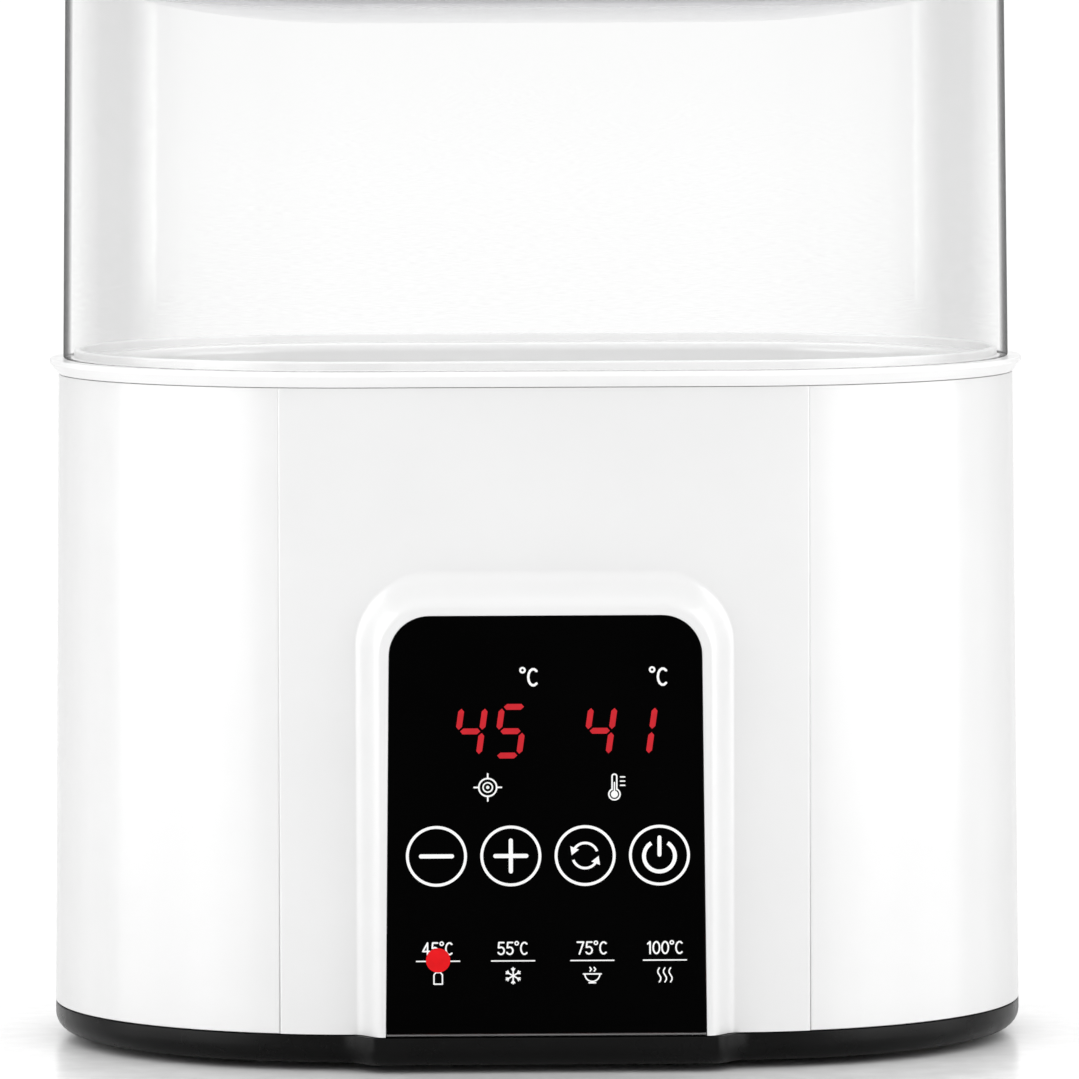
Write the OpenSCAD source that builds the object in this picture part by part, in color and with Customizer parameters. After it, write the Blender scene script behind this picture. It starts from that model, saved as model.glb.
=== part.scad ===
// Two-bottle steam sterilizer: an oval heated base, a clear hood, a steam tray and a lid.
// Millimetres, +Z up. The origin is on the floor under the middle of the oval, and the panel faces -Y.

/* [Casing] */
// Width of the casing at its foot
casing_w = 213; // [210:1:218]
// Depth of the casing at its foot
casing_d = 135; // [134:1:138]
// Height of the rim that the hood stands on
rim_z = 149.8; // [146:0.1:156]
// How far the sides lean in between foot and rim
draft = 1.5; // [0.5:0.1:2]
// Wall thickness of the casing mouldings
wall = 2.5; // [2.2:0.1:2.8]
// Distance from the middle to each upright seam
seam_x = 57; // [52:1:60]
// Width of the seam gap
seam_gap = 0.3; // [0.2:0.1:0.6]
// Width of the ledge under the rim seal
ledge_w = 5; // [4:0.5:5]

/* [Foot] */
// Height of the rubber feet below the dark band
foot_h = 1.5; // [1:0.5:2]
// Radius of each rubber foot
foot_r = 7; // [5:0.5:9]
// Top of the dark band
band_z = 8; // [7.5:0.5:9]
// Rounding of the band's lower edge
band_round = 4; // [3:0.5:5]
// Thickness of the casing floor
floor_t = 2.5; // [2:0.1:3]

/* [Rim and tank] */
// Thickness of the rim flange
flange_t = 2.8; // [2.4:0.1:3.2]
// Thickness of the flange at its edge
lip_t = 1; // [0.8:0.1:1.6]
// How far the flange stands proud of the casing
flange_lip = 2; // [1:0.1:2.5]
// Thickness of the seal under the flange
seal_t = 0.6; // [0.4:0.1:1]
// Radius of the tank's round ends at its mouth
tank_r = 55; // [54:0.5:55.5]
// Wall thickness of the tank
tank_t = 2.2; // [2:0.1:2.4]
// Level of the tank floor
tank_z = 35.5; // [35:0.5:37]
// Height of the rib that locates the hood
rib_h = 2; // [1:0.5:3]

/* [Control panel] */
// Width of the raised pod
pod_w = 79; // [77:1:80]
// Top of the raised pod
pod_z = 106; // [104:1:112]
// How far the pod stands out from the casing
pod_out = 5.5; // [5.5:0.5:6.5]
// Corner radius of the pod
pod_r = 14; // [10:1:18]
// Width of the window at its foot
window_w0 = 68.3; // [67:0.1:68.5]
// Width of the window at its top
window_w1 = 66.5; // [66:0.1:67]
// Top of the window
window_z = 98; // [96:1:99]
// Corner radius of the window
window_r = 8.5; // [6:0.5:11]
// Thickness of the window
window_t = 1.9; // [1.5:0.1:2]
// Spacing of the touch keys
key_pitch = 15.85; // [15:0.05:16]
// Height of the touch keys
key_z = 46.8; // [44:0.1:49]
// Height of the middle of the digits
digit_z = 73.5; // [71:0.5:76]
// Height of the indicator lights
mode_z = 24.5; // [23:0.5:26]

/* [Heating] */
// Radius of the heated face
plate_r = 44; // [42:0.5:45]
// Middle radius of the heater element
element_r = 33; // [31:0.5:34]
// Radius of the clamp screw circle
clamp_screw_r = 54.5; // [54:0.5:55]

/* [Bottle rack] */
// Distance from the middle to each bottle well
well_x = 53; // [52:1:54]
// Radius of each bottle well
well_r = 32; // [30:0.5:32.5]
// Level the bottles stand on
rack_z = 44.5; // [43:0.5:46]
// Level of the upper rack plate
rack_top = 104; // [95:1:112]
// Top of the rack's lifting handle
handle_z = 143; // [136:1:144]

/* [Hood, tray and lid] */
// Radius of the hood's round ends at its foot
hood_r = 65; // [64.8:0.1:65.5]
// How far the hood leans in by its top
hood_draft = 1.2; // [0.4:0.1:1.6]
// Wall thickness of the hood
hood_t = 2; // [1.8:0.1:2.2]
// Top edge of the hood
hood_z = 252; // [248:1:256]
// Lowest point of the steam tray
tray_z = 223; // [222:1:224]
// Wall thickness of the tray and lid
tray_t = 2; // [1.8:0.1:2.2]
// Radius of the shallow crown of the tray
tray_crown = 230; // [220:5:240]
// Radius of the tray's lower corner
tray_knuckle = 22; // [20:1:22]
// Top of the lid without its knob
lid_z = 270; // [269:1:272]
// Height of the knob above the lid
knob_h = 15; // [13:1:17]
// Radius of the knob
knob_r = 17; // [14:1:20]

/* [Cord] */
// Height at which the cord leaves the casing
cord_z = 20; // [18:1:22]
// Radius of the cord
cord_r = 3; // [2.5:0.1:3]
// Length of each run of the folded cord
cord_run = 90; // [90:5:130]
// Radius of each turn of the folded cord
cord_turn = 8; // [7:0.5:9]
// Number of turns in the folded cord
cord_turns = 5; // [3:2:5]

/* [Plug] */
// Length of the plug's body
plug_len = 28; // [24:1:34]
// Width of the plug's body
plug_w = 24; // [22:1:28]
// Thickness of the plug's body
plug_h = 14; // [13:1:16]
// Spacing of the plug's blades
blade_gap = 12.7; // [12.6:0.1:12.8]

/* [Hidden] */
$fn = 96;

eps = 1;                              // overrun of a cut past a face
mate = 1;                             // how far a joined piece runs into its neighbour
slack = 0.15;                         // gap round a part that drops into another
pilot_r = 1.1;                        // hole that a board screw cuts its thread in
long_pilot_r = 1.5;                   // hole that a long or clamp screw cuts its thread in
thread_r = 1.45;                      // shank of a long, clamp or knob screw
board_thread_r = 1.05;                // shank of a board screw
window_gap = 0.2;                     // how far the window sits behind the pod's face
lead_r = 1.2;                         // radius of each inner lead
tube_r = 3.2;                         // radius of the heater element's sheath
lead_y = 6;                           // heater leads either side of the middle
vent_xs = [-24:8:24];
vent_w = 3;
vent_l = 36;
seal_w = 5.6;                         // how far the plate's seal and flange reach past its face
lug_r = 4;                            // clamp lug round each of its screws
rack_t = 2.5;
rack_leg_r = 3;
sleeve_l = 16;                        // tapered sleeve between cord and plug
lid_crown = 260;
lid_knuckle = 8;
head_gap = 0.05;                      // a flat screw head under the lid's curved inner face
end_r = casing_d / 2;                 // radius of the round ends at the foot
half = (casing_w - casing_d) / 2;     // middle to the centre of each round end
flange_z = rim_z - flange_t;          // underside of the rim flange
shell_z = flange_z - seal_t;          // top of the casing
floor_z = foot_h + floor_t;           // inner face of the casing floor
band_top = band_z - seam_gap;         // top of the dark band, a seam's width below the casing
inner_r = end_r - wall;               // inner radius of the casing at its foot
front_y = end_r + pod_out;            // the pod's face is this far in front of the middle
window_back = front_y - window_gap - window_t;
tank_r0 = tank_r - 1;                 // tank radius at its floor
tank_floor_t = 2.5;
tank_under = tank_z - tank_floor_t;   // underside of the tank floor
plate_under = tank_under - 3.5;       // underside of the heating plate
board_front = end_r - 4;              // front face of the control board
board_t = 1.6;
key_x = 0.4;                          // middle of the row of keys
power_x = 72;                         // middle of the power board
power_z = 11;                         // underside of the power board
power_top = power_z + board_t;
screw_x = half;                       // long screws that hold the tank and the floor together
screw_y = 50;
post_z = 16;                          // where floor posts meet the tank bosses
tray_rim_t = 2.2;
lid_seat = hood_z + tray_rim_t;
tray_r = hood_r - hood_draft - hood_t - 0.5;
mode_xs = [-23.1, -7.1, 9.8, 25.3];
digit_xs = [-11.8, 15.8];
clamp_angles = [25, 155, 205, 335];
cord_exit = end_r + 28;               // where the cord starts to drop to the floor
cord_drop = (cord_z - cord_r) / 2;    // turn radius of each half of the drop
fold_y = cord_exit + 2 * cord_drop;   // where the folds start
plug_x = cord_run / 2 + sleeve_l;     // back of the plug's body
plug_y = fold_y + cord_turn * (1 + 2 * cord_turns);
foot_places = [for (x = [-70, 70], y = [-30, 30]) [x, y]];
long_places = [for (x = [-screw_x, screw_x], y = [-screw_y, screw_y]) [x, y]];
power_places = [for (x = [-19, 19], y = [-25, 25]) [power_x + x, y]];
control_places = [for (x = [-34.8, 34.8], z = [30, 90]) [x, z]];

// Radius of the casing's outer face at height z
function skin_r(z) = end_r - draft * (z - band_z) / (rim_z - band_z);

// Points of a dished profile from the axis out to its upright wall: a shallow crown, then a tighter
// knuckle. way is 1 for a bowl, whose apex is its lowest point, and -1 for a lid.
function dish(r, apex, crown, knuckle, way, steps = 8) =
    let (
        kr = r - knuckle,
        centre = apex + way * crown,
        fall = sqrt(pow(crown - knuckle, 2) - kr * kr),
        join = asin(kr / (crown - knuckle)))
    concat(
        [for (i = [0:steps]) let (a = join * i / steps) [crown * sin(a), centre - way * crown * cos(a)]],
        [for (i = [1:steps]) let (a = join + (90 - join) * i / steps)
            [kr + knuckle * sin(a), centre - way * (fall + knuckle * cos(a))]]);

function backwards(list) = [for (i = [len(list) - 1:-1:0]) list[i]];

// Sweeps a profile, drawn as distance out from the end centres and height, right round the oval
module oval() {
    for (turn = [0, 180]) rotate([0, 0, turn]) {
        translate([half, 0, 0]) rotate_extrude(angle = 180, start = -90) children();
        translate([-half, 0, 0]) rotate([90, 0, 90]) linear_extrude(2 * half) children();
    }
}

// Flat ring section from radius r0 to r1 and height z0 to z1
module band(r0, r1, z0, z1) {
    translate([r0, z0]) square([r1 - r0, z1 - z0]);
}

// Raises an x-z outline into a slab whose front face is y_front ahead of the middle
module facing(y_front, depth) {
    translate([0, depth - y_front, 0]) rotate([90, 0, 0]) linear_extrude(depth) children();
}

// Upright outline with a square foot and round top corners
module arch(w0, w1, z0, z1, r) {
    polygon([[-w0 / 2, z0], [w0 / 2, z0], [w1 / 2, z1 - r], [w1 / 2 - r, z1],
        [r - w1 / 2, z1], [-w1 / 2, z1 - r]]);
    for (s = [-1, 1]) translate([s * (w1 / 2 - r), z1 - r]) circle(r);
}

module window_outline(grow) {
    arch(window_w0 + 2 * grow, window_w1 + 2 * grow, band_z - max(0, grow), window_z + grow,
        window_r + grow);
}

module at(places, z) {
    for (p = places) translate([p[0], p[1], z]) children();
}

// Box between two corners
module block(low, high) {
    translate(low) cube(high - low);
}

module screw(head_r, head_h, shank_r, shank_h) {
    cylinder(r = head_r, h = head_h);
    translate([0, 0, head_h]) cylinder(r = shank_r, h = shank_h);
}

// Casing

module casing_skin() {
    top = skin_r(shell_z);
    oval() polygon([[skin_r(band_z), band_z], [top, shell_z], [top - ledge_w, shell_z],
        [top - ledge_w, shell_z - wall], [top - wall, shell_z - 2 * wall], [skin_r(band_z) - wall, band_z]]);
}

module front_zone(x) {
    block([-x, -casing_d, 0], [x, 0, rim_z]);
}

module rear_shell() color("white") difference() {
    casing_skin();
    front_zone(seam_x + seam_gap / 2);
    translate([0, end_r - 2 * wall, cord_z]) rotate([-90, 0, 0]) cylinder(r = 6.15, h = 4 * wall);
}

// Plan of the pod, with chamfered front corners
module pod_plan(w) {
    polygon([[-w / 2, 8 - end_r], [w / 2, 8 - end_r], [w / 2, 3 - front_y], [w / 2 - 2.5, -front_y],
        [2.5 - w / 2, -front_y], [-w / 2, 3 - front_y]]);
}

module pod() {
    intersection() {
        facing(front_y, pod_out + 3) arch(pod_w, pod_w, band_z, pod_z, pod_r);
        linear_extrude(rim_z) pod_plan(pod_w);
        rotate([90, 0, 90]) linear_extrude(casing_w, center = true) polygon([[8 - end_r, 0],
            [8 - end_r, pod_z + 1], [3 - front_y, pod_z + 1], [-front_y, pod_z - 2.5], [-front_y, 0]]);
    }
}

module front_cover() color("white") difference() {
    union() {
        intersection() {
            casing_skin();
            front_zone(seam_x - seam_gap / 2);
        }
        pod();
        for (p = control_places) translate([p[0], 0, p[1]]) rotate([90, 0, 0])
            translate([0, 0, board_front]) cylinder(r = 2.6, h = 3);
    }
    facing(front_y + eps, window_t + window_gap + eps) window_outline(slack);
    facing(front_y + eps, 2 * end_r / 3) window_outline(-2);
    block([2 - window_w0 / 2, -front_y - eps, band_z - eps], [window_w0 / 2 - 2, 20 - front_y, band_z + 3]);
    for (p = control_places) translate([p[0], 0, p[1]]) rotate([90, 0, 0])
        translate([0, 0, board_front - eps]) cylinder(r = pilot_r, h = 5);
}

module base_tray() color([0.16, 0.16, 0.17]) difference() {
    union() {
        oval() difference() {
            union() {
                band(0, end_r - band_round, foot_h, band_top);
                band(0, end_r, foot_h + band_round, band_top);
                intersection() {
                    translate([end_r - band_round, foot_h + band_round]) circle(band_round);
                    band(0, end_r, foot_h, band_top);
                }
            }
            band(0, inner_r, floor_z, band_z + eps);
        }
        translate([0, 0, foot_h + 1]) linear_extrude(band_top - foot_h - 1) difference() {
            pod_plan(pod_w + 3);
            translate([-pod_w / 2, 3 - end_r]) square([pod_w, 10]);
        }
        at(long_places, foot_h + 1) cylinder(r = 5.5, h = post_z - foot_h - 1);
        at(power_places, foot_h + 1) cylinder(r = 3, h = power_z - foot_h - 1);
    }
    at(foot_places, foot_h - eps) cylinder(r = foot_r + slack, h = 1 + eps);
    at(long_places, 0) cylinder(r = 1.8, h = post_z + eps);
    at(long_places, 0) cylinder(r = 3.6, h = 6);
    at(power_places, floor_z) cylinder(r = pilot_r, h = power_z);
    for (x = vent_xs) block([x - vent_w / 2, -vent_l / 2, 0], [x + vent_w / 2, vent_l / 2, floor_z + eps]);
}

module rubber_feet() color([0.1, 0.1, 0.1]) {
    at(foot_places, 0) cylinder(r = foot_r, h = foot_h + 1);
}

// Tank and rim

module water_tank() color("white") difference() {
    edge_r = end_r - draft + flange_lip - lip_t / 2;
    union() {
        oval() difference() {
            union() {
                polygon([[0, tank_under], [tank_r0 + tank_t, tank_under],
                    [tank_r + tank_t, flange_z], [tank_r + tank_t, rim_z], [0, rim_z]]);
                polygon([[0, flange_z], [skin_r(flange_z) - 0.5, flange_z], [edge_r, rim_z - lip_t],
                    [edge_r, rim_z], [0, rim_z]]);
                translate([edge_r, rim_z - lip_t / 2]) circle(lip_t / 2);
                band(hood_r - hood_t - 1.9, hood_r - hood_t - 0.4, rim_z - 1, rim_z + rib_h);
            }
            polygon([[0, tank_z], [tank_r0 - 6, tank_z], [tank_r0, tank_z + 6], [tank_r, rim_z - 2],
                [tank_r + 2, rim_z + eps], [0, rim_z + eps]]);
        }
        at(long_places, post_z) cylinder(r = 4.5, h = tank_under - post_z + eps);
        at_clamp(plate_under) cylinder(r = 3.4, h = tank_under - plate_under + eps);
    }
    translate([0, 0, tank_under - eps]) cylinder(r = plate_r + 0.2, h = tank_floor_t + 2 * eps);
    at(long_places, post_z - eps) cylinder(r = long_pilot_r, h = 12);
    at_clamp(plate_under - eps) cylinder(r = long_pilot_r, h = 5);
}

module rim_seal() color([0.85, 0.85, 0.85]) {
    oval() band(skin_r(shell_z) - ledge_w, skin_r(shell_z) - 1, shell_z, flange_z);
}

// Heating

module at_clamp(z) {
    for (a = clamp_angles) rotate([0, 0, a]) translate([clamp_screw_r, 0, z]) children();
}

module heating_plate() color("silver") {
    step = plate_r - 1.5;
    rotate_extrude() polygon([[0, plate_under], [plate_r + 6, plate_under], [plate_r + 6, tank_under - 1],
        [plate_r, tank_under - 1], [plate_r, tank_z - 1], [step, tank_z - 0.4], [step - 5, tank_z - 1.2],
        [0, tank_z - 1.2]]);
}

module plate_seal() color([0.8, 0.35, 0.25]) {
    translate([0, 0, tank_under - 1]) difference() {
        cylinder(r = plate_r + seal_w, h = 1);
        translate([0, 0, -eps]) cylinder(r = plate_r + 0.4, h = 1 + 2 * eps);
    }
}

module plate_clamp() color("silver") translate([0, 0, plate_under - 2]) linear_extrude(2) difference() {
    union() {
        circle(plate_r + 7.5);
        for (a = clamp_angles) rotate(a) {
            translate([clamp_screw_r, 0]) circle(lug_r);
            translate([plate_r + lug_r, -lug_r]) square([clamp_screw_r - plate_r - lug_r, 2 * lug_r]);
        }
    }
    circle(plate_r + 1);
    for (a = clamp_angles) rotate(a) translate([clamp_screw_r, 0]) circle(1.6);
}

module plate_screws() color("silver") {
    at_clamp(plate_under - 3.8) screw(2.8, 1.8, thread_r, 5);
}

module heater_element() color([0.55, 0.5, 0.48]) {
    z = plate_under - 5.5;
    rotate_extrude() translate([element_r, 0]) intersection() {
        band(-tube_r, tube_r, z, plate_under);
        union() {
            band(-tube_r, tube_r, z + tube_r, plate_under);
            translate([0, z + tube_r]) circle(tube_r);
        }
    }
    for (y = [-lead_y, lead_y])
        translate([sqrt(element_r * element_r - y * y), y, z - 5]) cylinder(r = 1.6, h = 6.5);
}

module thermostat() color([0.2, 0.2, 0.2]) {
    translate([0, 0, plate_under - 1.2]) cylinder(r = 9, h = 1.2);
    translate([0, 0, plate_under - 8]) cylinder(r = 7.5, h = 7);
    for (y = [-4, 4]) block([-3, y - 0.4, plate_under - 13], [3, y + 0.4, plate_under - 7.5]);
}

module thermal_fuse() color("silver") {
    translate([-7, 20, plate_under - 2.2]) rotate([0, 90, 0]) cylinder(r = 2, h = 14);
    block([-4, 18.5, plate_under - 1.5], [4, 21.5, plate_under]);
}

module temp_sensor() color([0.6, 0.45, 0.25]) {
    translate([15, -14, plate_under - 6]) cylinder(r = 2.5, h = 6);
}

// Electrics

module board_holes(places, z, r) {
    at(places, z - eps) cylinder(r = r, h = board_t + 2 * eps);
}

module power_board() color([0.1, 0.35, 0.2]) difference() {
    block([power_x - 22, -29, power_z], [power_x + 22, 29, power_top]);
    board_holes(power_places, power_z, 1.4);
}

module relay() color([0.1, 0.2, 0.5]) {
    block([power_x - 8, -14, power_top], [power_x + 8, 5, power_top + 13]);
}

module transformer() color([0.75, 0.65, 0.2]) {
    block([power_x - 13, 8, power_top], [power_x + 5, 22, power_top + 14]);
}

module capacitor() color([0.15, 0.15, 0.2]) {
    translate([power_x + 15, 0, power_top]) cylinder(r = 5, h = 13);
}

module terminal_block() color([0.1, 0.5, 0.3]) {
    block([power_x - 22, -11, power_top], [power_x - 14, 5, power_top + 9]);
    block([power_x - 16, 24, power_top], [power_x - 8, 29, power_top + 13]);
    block([power_x - 16, -29, power_top], [power_x - 8, -26, power_top + 10]);
}

module control_board() color([0.1, 0.35, 0.2]) difference() {
    union() {
        facing(board_front, board_t) translate([-38, 14]) square([76, 82]);
        block([30, board_t - board_front, 14], [37.5, 4 - board_front, 23]);
    }
    for (p = control_places) translate([p[0], 0, p[1]]) rotate([90, 0, 0])
        translate([0, 0, board_front - board_t - eps]) cylinder(r = 1.3, h = board_t + 2 * eps);
}

module touch_pads() color([0.25, 0.25, 0.27]) {
    for (i = [0:3]) translate([key_x + (i - 1.5) * key_pitch, -board_front, key_z]) rotate([90, 0, 0])
        difference() {
            cylinder(r = 4.8, h = window_back - board_front);
            translate([0, 0, -eps]) cylinder(r = 2, h = window_back - board_front + 2 * eps);
        }
}

module led_display() color([0.7, 0.1, 0.1]) {
    for (x = digit_xs) facing(window_back - 0.1, window_back - 0.1 - board_front)
        translate([x - 12.5, digit_z - 8.5]) square([25, 17]);
}

module mode_leds() color([0.9, 0.1, 0.1]) {
    for (x = mode_xs) translate([x, -board_front, mode_z]) rotate([90, 0, 0])
        cylinder(r = 1.5, h = window_back - board_front - 0.5);
}

module panel_window() color("black") {
    facing(front_y - window_gap, window_t) window_outline(0);
}

module board_screws() color("silver") {
    at(power_places, power_top + 1.6) mirror([0, 0, 1]) screw(2.2, 1.6, board_thread_r, 6);
    for (p = control_places) translate([p[0], board_t + 1.4 - board_front, p[1]]) rotate([90, 0, 0])
        screw(2.1, 1.4, board_thread_r, 4.5);
}

module base_screws() color("silver") {
    at(long_places, 4) screw(3.2, 2, thread_r, 20);
}

module ribbon_cable() color([0.7, 0.7, 0.7]) {
    y = 3.2 - board_front;
    translate([0, 0, 14.5]) linear_extrude(8) {
        translate([37.5, y - 0.4]) square([12.5, 0.8]);
        translate([50, y + 10]) intersection() {
            difference() {
                circle(10.4);
                circle(9.6);
            }
            translate([0, -11]) square([11, 11]);
        }
        translate([59.6, y + 10]) square([0.8, -29 - y - 10]);
    }
}

// A round wire straight along +X
module run(r, length) {
    rotate([0, 90, 0]) cylinder(r = r, h = length);
}

// A round wire that sets off along +X and turns to its left
module bend(r, turn_r, angle) {
    translate([0, turn_r, 0]) rotate_extrude(angle = angle, start = -90) translate([turn_r, 0]) circle(r);
}

module heater_leads() color([0.8, 0.1, 0.1]) {
    from = sqrt(element_r * element_r - lead_y * lead_y);
    for (y = [-lead_y, lead_y]) translate([from + 4, y, plate_under - 14.5]) {
        run(lead_r, power_x - 22 - from - 4);
        rotate([90, 0, 180]) bend(lead_r, 4, 90);
    }
}

// Two leads from the cord, along the back wall and in to the terminal block
module mains_leads() color([0.3, 0.2, 0.1]) {
    first = 4.5;
    second = 10;
    along = power_x - 12 - first - second;
    for (z = [cord_z - 1.5, cord_z + 1.5]) translate([first, end_r - 4 - first, z]) {
        mirror([1, 0, 0]) bend(lead_r, first, 90);
        run(lead_r, along);
        translate([along, 0, 0]) mirror([0, 1, 0]) bend(lead_r, second, 90);
        translate([along + second, -second, 0]) rotate([0, 0, -90])
            run(lead_r, end_r - 4 - first - second - 29);
    }
}

module cord_bushing() color([0.12, 0.12, 0.12]) {
    y = end_r;
    translate([0, 0, cord_z]) rotate([-90, 0, 0]) rotate_extrude() polygon([[cord_r + 0.05, y - 4.5],
        [7.6, y - 4.5], [7.6, y - 3], [6, y - 3], [6, y + 0.3], [8, y + 0.3], [8, y + 2.3],
        [6, y + 2.8], [4.6, y + 24], [cord_r + 0.05, y + 24]]);
}

module power_cord() color([0.1, 0.1, 0.1]) {
    translate([0, end_r - 4, cord_z]) rotate([0, 0, 90]) run(cord_r, cord_exit - end_r + 4);
    translate([0, cord_exit, cord_z]) rotate([90, 0, 90]) mirror([0, 1, 0]) bend(cord_r, cord_drop, 90);
    translate([0, cord_exit + cord_drop, cord_z - cord_drop]) rotate([90, 0, 90]) rotate([0, 0, -90])
        bend(cord_r, cord_drop, 90);
    translate([0, fold_y, cord_r]) {
        rotate([0, 0, 90]) bend(cord_r, cord_turn, 90);
        translate([-cord_run / 2, cord_turn, 0]) run(cord_r, cord_run / 2 - cord_turn);
        for (i = [0:cord_turns - 1]) translate([0, cord_turn * (1 + 2 * i), 0]) mirror([i % 2, 0, 0]) {
            translate([-cord_run / 2, 0, 0]) mirror([1, 0, 0]) bend(cord_r, cord_turn, 180);
            translate([-cord_run / 2, 2 * cord_turn, 0]) run(cord_r, cord_run);
        }
    }
}

module plug_body() color([0.1, 0.1, 0.1]) {
    lean = atan((plug_h / 2 - cord_r) / sleeve_l);
    translate([plug_x, plug_y, plug_h / 2]) rotate([90, 0, 90]) linear_extrude(plug_len) {
        for (s = [-1, 1]) translate([s * (plug_w - plug_h) / 2, 0]) circle(plug_h / 2);
        square([plug_w - plug_h, plug_h], center = true);
    }
    translate([plug_x - sleeve_l, plug_y, cord_r]) rotate([0, 90 - lean, 0])
        cylinder(r1 = cord_r - 0.2, r2 = 5, h = sleeve_l + 2);
}

module plug_pins() color([0.8, 0.7, 0.4]) {
    for (y = [-blade_gap / 2, blade_gap / 2]) translate([plug_x + plug_len, plug_y + y, plug_h / 2])
        block([0, -0.75, -3.15], [16, 0.75, 3.15]);
}

// Parts that lift off

module rack_plate(z) {
    translate([0, 0, z]) linear_extrude(rack_t) {
        for (s = [-1, 1]) translate([s * half, 0]) circle(tank_r0 - 2);
        square([2 * half, 2 * tank_r0 - 4], center = true);
    }
}

module bottle_rack() color("white") {
    difference() {
        rack_plate(rack_z - rack_t);
        for (s = [-1, 1], ring = [12, 23], a = [0:60:300])
            translate([s * well_x, 0, 0]) rotate([0, 0, a])
                translate([ring, 0, 0]) cylinder(r = 3, h = rim_z);
    }
    difference() {
        rack_plate(rack_top);
        for (s = [-1, 1]) translate([s * well_x, 0, 0]) cylinder(r = well_r, h = rim_z);
    }
    for (x = [-1, 1], y = [-1, 1]) {
        translate([x * 17, y * 42, tank_z]) cylinder(r = rack_leg_r, h = rack_top - tank_z + mate);
        translate([x * 79, y * 27, rack_z - mate]) cylinder(r = rack_leg_r, h = rack_top - rack_z + 2 * mate);
        translate([x * 70, y * 18, tank_z]) cylinder(r = rack_leg_r, h = rack_z - tank_z - mate);
    }
    for (y = [-1, 1]) block([-4, y * 14 - 2, rack_z - 1], [4, y * 14 + 2, handle_z - 3]);
    block([-6, -18, handle_z - 5], [6, 18, handle_z]);
}

module steam_hood() color([0.9, 0.95, 1, 0.25]) {
    top = hood_r - hood_draft;
    oval() polygon([[hood_r - hood_t, rim_z], [hood_r, rim_z], [top, hood_z], [top - hood_t, hood_z]]);
}

module steam_tray() color([0.8, 0.8, 0.82, 0.8]) {
    outer = dish(tray_r, tray_z, tray_crown, tray_knuckle, 1);
    inner = dish(tray_r - tray_t, tray_z + tray_t, tray_crown - tray_t, tray_knuckle - tray_t, 1);
    rim = hood_r - hood_draft + 1;
    edge = [[tray_r, hood_z], [rim, hood_z], [rim, lid_seat], [tray_r - tray_t, lid_seat]];
    oval() polygon(concat(outer, edge, backwards(inner)));
}

module top_lid() color([0.9, 0.95, 1, 0.25]) difference() {
    r = hood_r - hood_draft;
    outer = dish(r, lid_z, lid_crown, lid_knuckle, -1);
    inner = dish(r - tray_t, lid_z - tray_t, lid_crown - tray_t, lid_knuckle - tray_t, -1);
    oval() polygon(concat(outer, [[r, lid_seat], [r - tray_t, lid_seat]], backwards(inner)));
    translate([0, 0, lid_z - 5]) cylinder(r = 2.2, h = 10);
}

module lid_knob() color([0.85, 0.85, 0.87]) difference() {
    translate([0, 0, lid_z]) rotate_extrude() polygon([[0, 0], [8, 0], [7, 4], [knob_r - 3, 7.5],
        [knob_r, 10], [knob_r - 1, knob_h - 2], [knob_r - 5, knob_h], [0, knob_h]]);
    translate([0, 0, lid_z - eps]) cylinder(r = 1.5, h = 10);
}

module knob_screw() color("silver") {
    translate([0, 0, lid_z - tray_t - 2 - head_gap]) screw(4, 2, thread_r, 10);
}

rear_shell();
front_cover();
base_tray();
rubber_feet();
panel_window();
led_display();
mode_leds();
touch_pads();
control_board();
water_tank();
rim_seal();
heating_plate();
plate_seal();
plate_clamp();
plate_screws();
heater_element();
thermostat();
thermal_fuse();
temp_sensor();
power_board();
relay();
transformer();
capacitor();
terminal_block();
board_screws();
base_screws();
ribbon_cable();
heater_leads();
mains_leads();
cord_bushing();
power_cord();
plug_body();
plug_pins();
bottle_rack();
steam_hood();
steam_tray();
top_lid();
lid_knob();
knob_screw();
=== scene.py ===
"""Looks of the two-bottle sterilizer: meshes, materials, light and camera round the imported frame."""
import math

import bmesh
import bpy
from mathutils import Matrix, Vector


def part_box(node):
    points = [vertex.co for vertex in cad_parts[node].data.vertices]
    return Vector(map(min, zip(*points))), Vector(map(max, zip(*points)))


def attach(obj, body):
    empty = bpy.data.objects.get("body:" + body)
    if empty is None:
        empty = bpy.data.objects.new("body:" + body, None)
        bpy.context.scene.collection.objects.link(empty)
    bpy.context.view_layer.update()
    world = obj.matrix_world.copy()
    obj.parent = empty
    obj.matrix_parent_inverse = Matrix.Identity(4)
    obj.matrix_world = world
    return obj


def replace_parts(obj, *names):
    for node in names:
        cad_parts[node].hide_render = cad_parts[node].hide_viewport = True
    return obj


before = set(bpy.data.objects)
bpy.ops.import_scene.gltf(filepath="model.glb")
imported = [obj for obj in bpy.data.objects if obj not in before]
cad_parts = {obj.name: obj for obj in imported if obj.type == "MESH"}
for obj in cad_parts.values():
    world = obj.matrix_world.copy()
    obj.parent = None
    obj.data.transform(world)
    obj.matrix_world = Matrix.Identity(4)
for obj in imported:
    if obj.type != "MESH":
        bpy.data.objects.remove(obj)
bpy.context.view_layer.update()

MM = 0.001

# Sizes read from the frame, in metres

casing_lo, casing_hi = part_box("rear_shell")
tray_lo, tray_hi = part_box("base_tray")
tank_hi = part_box("water_tank")[1]
hood_lo, hood_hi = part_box("steam_hood")
bowl_lo, bowl_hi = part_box("steam_tray")
lid_lo, lid_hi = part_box("top_lid")
knob_lo, knob_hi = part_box("lid_knob")
glass_lo, glass_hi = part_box("panel_window")
cover_lo, cover_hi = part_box("front_cover")
seal_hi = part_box("rim_seal")[1]
bush_lo, bush_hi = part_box("cord_bushing")

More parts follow.
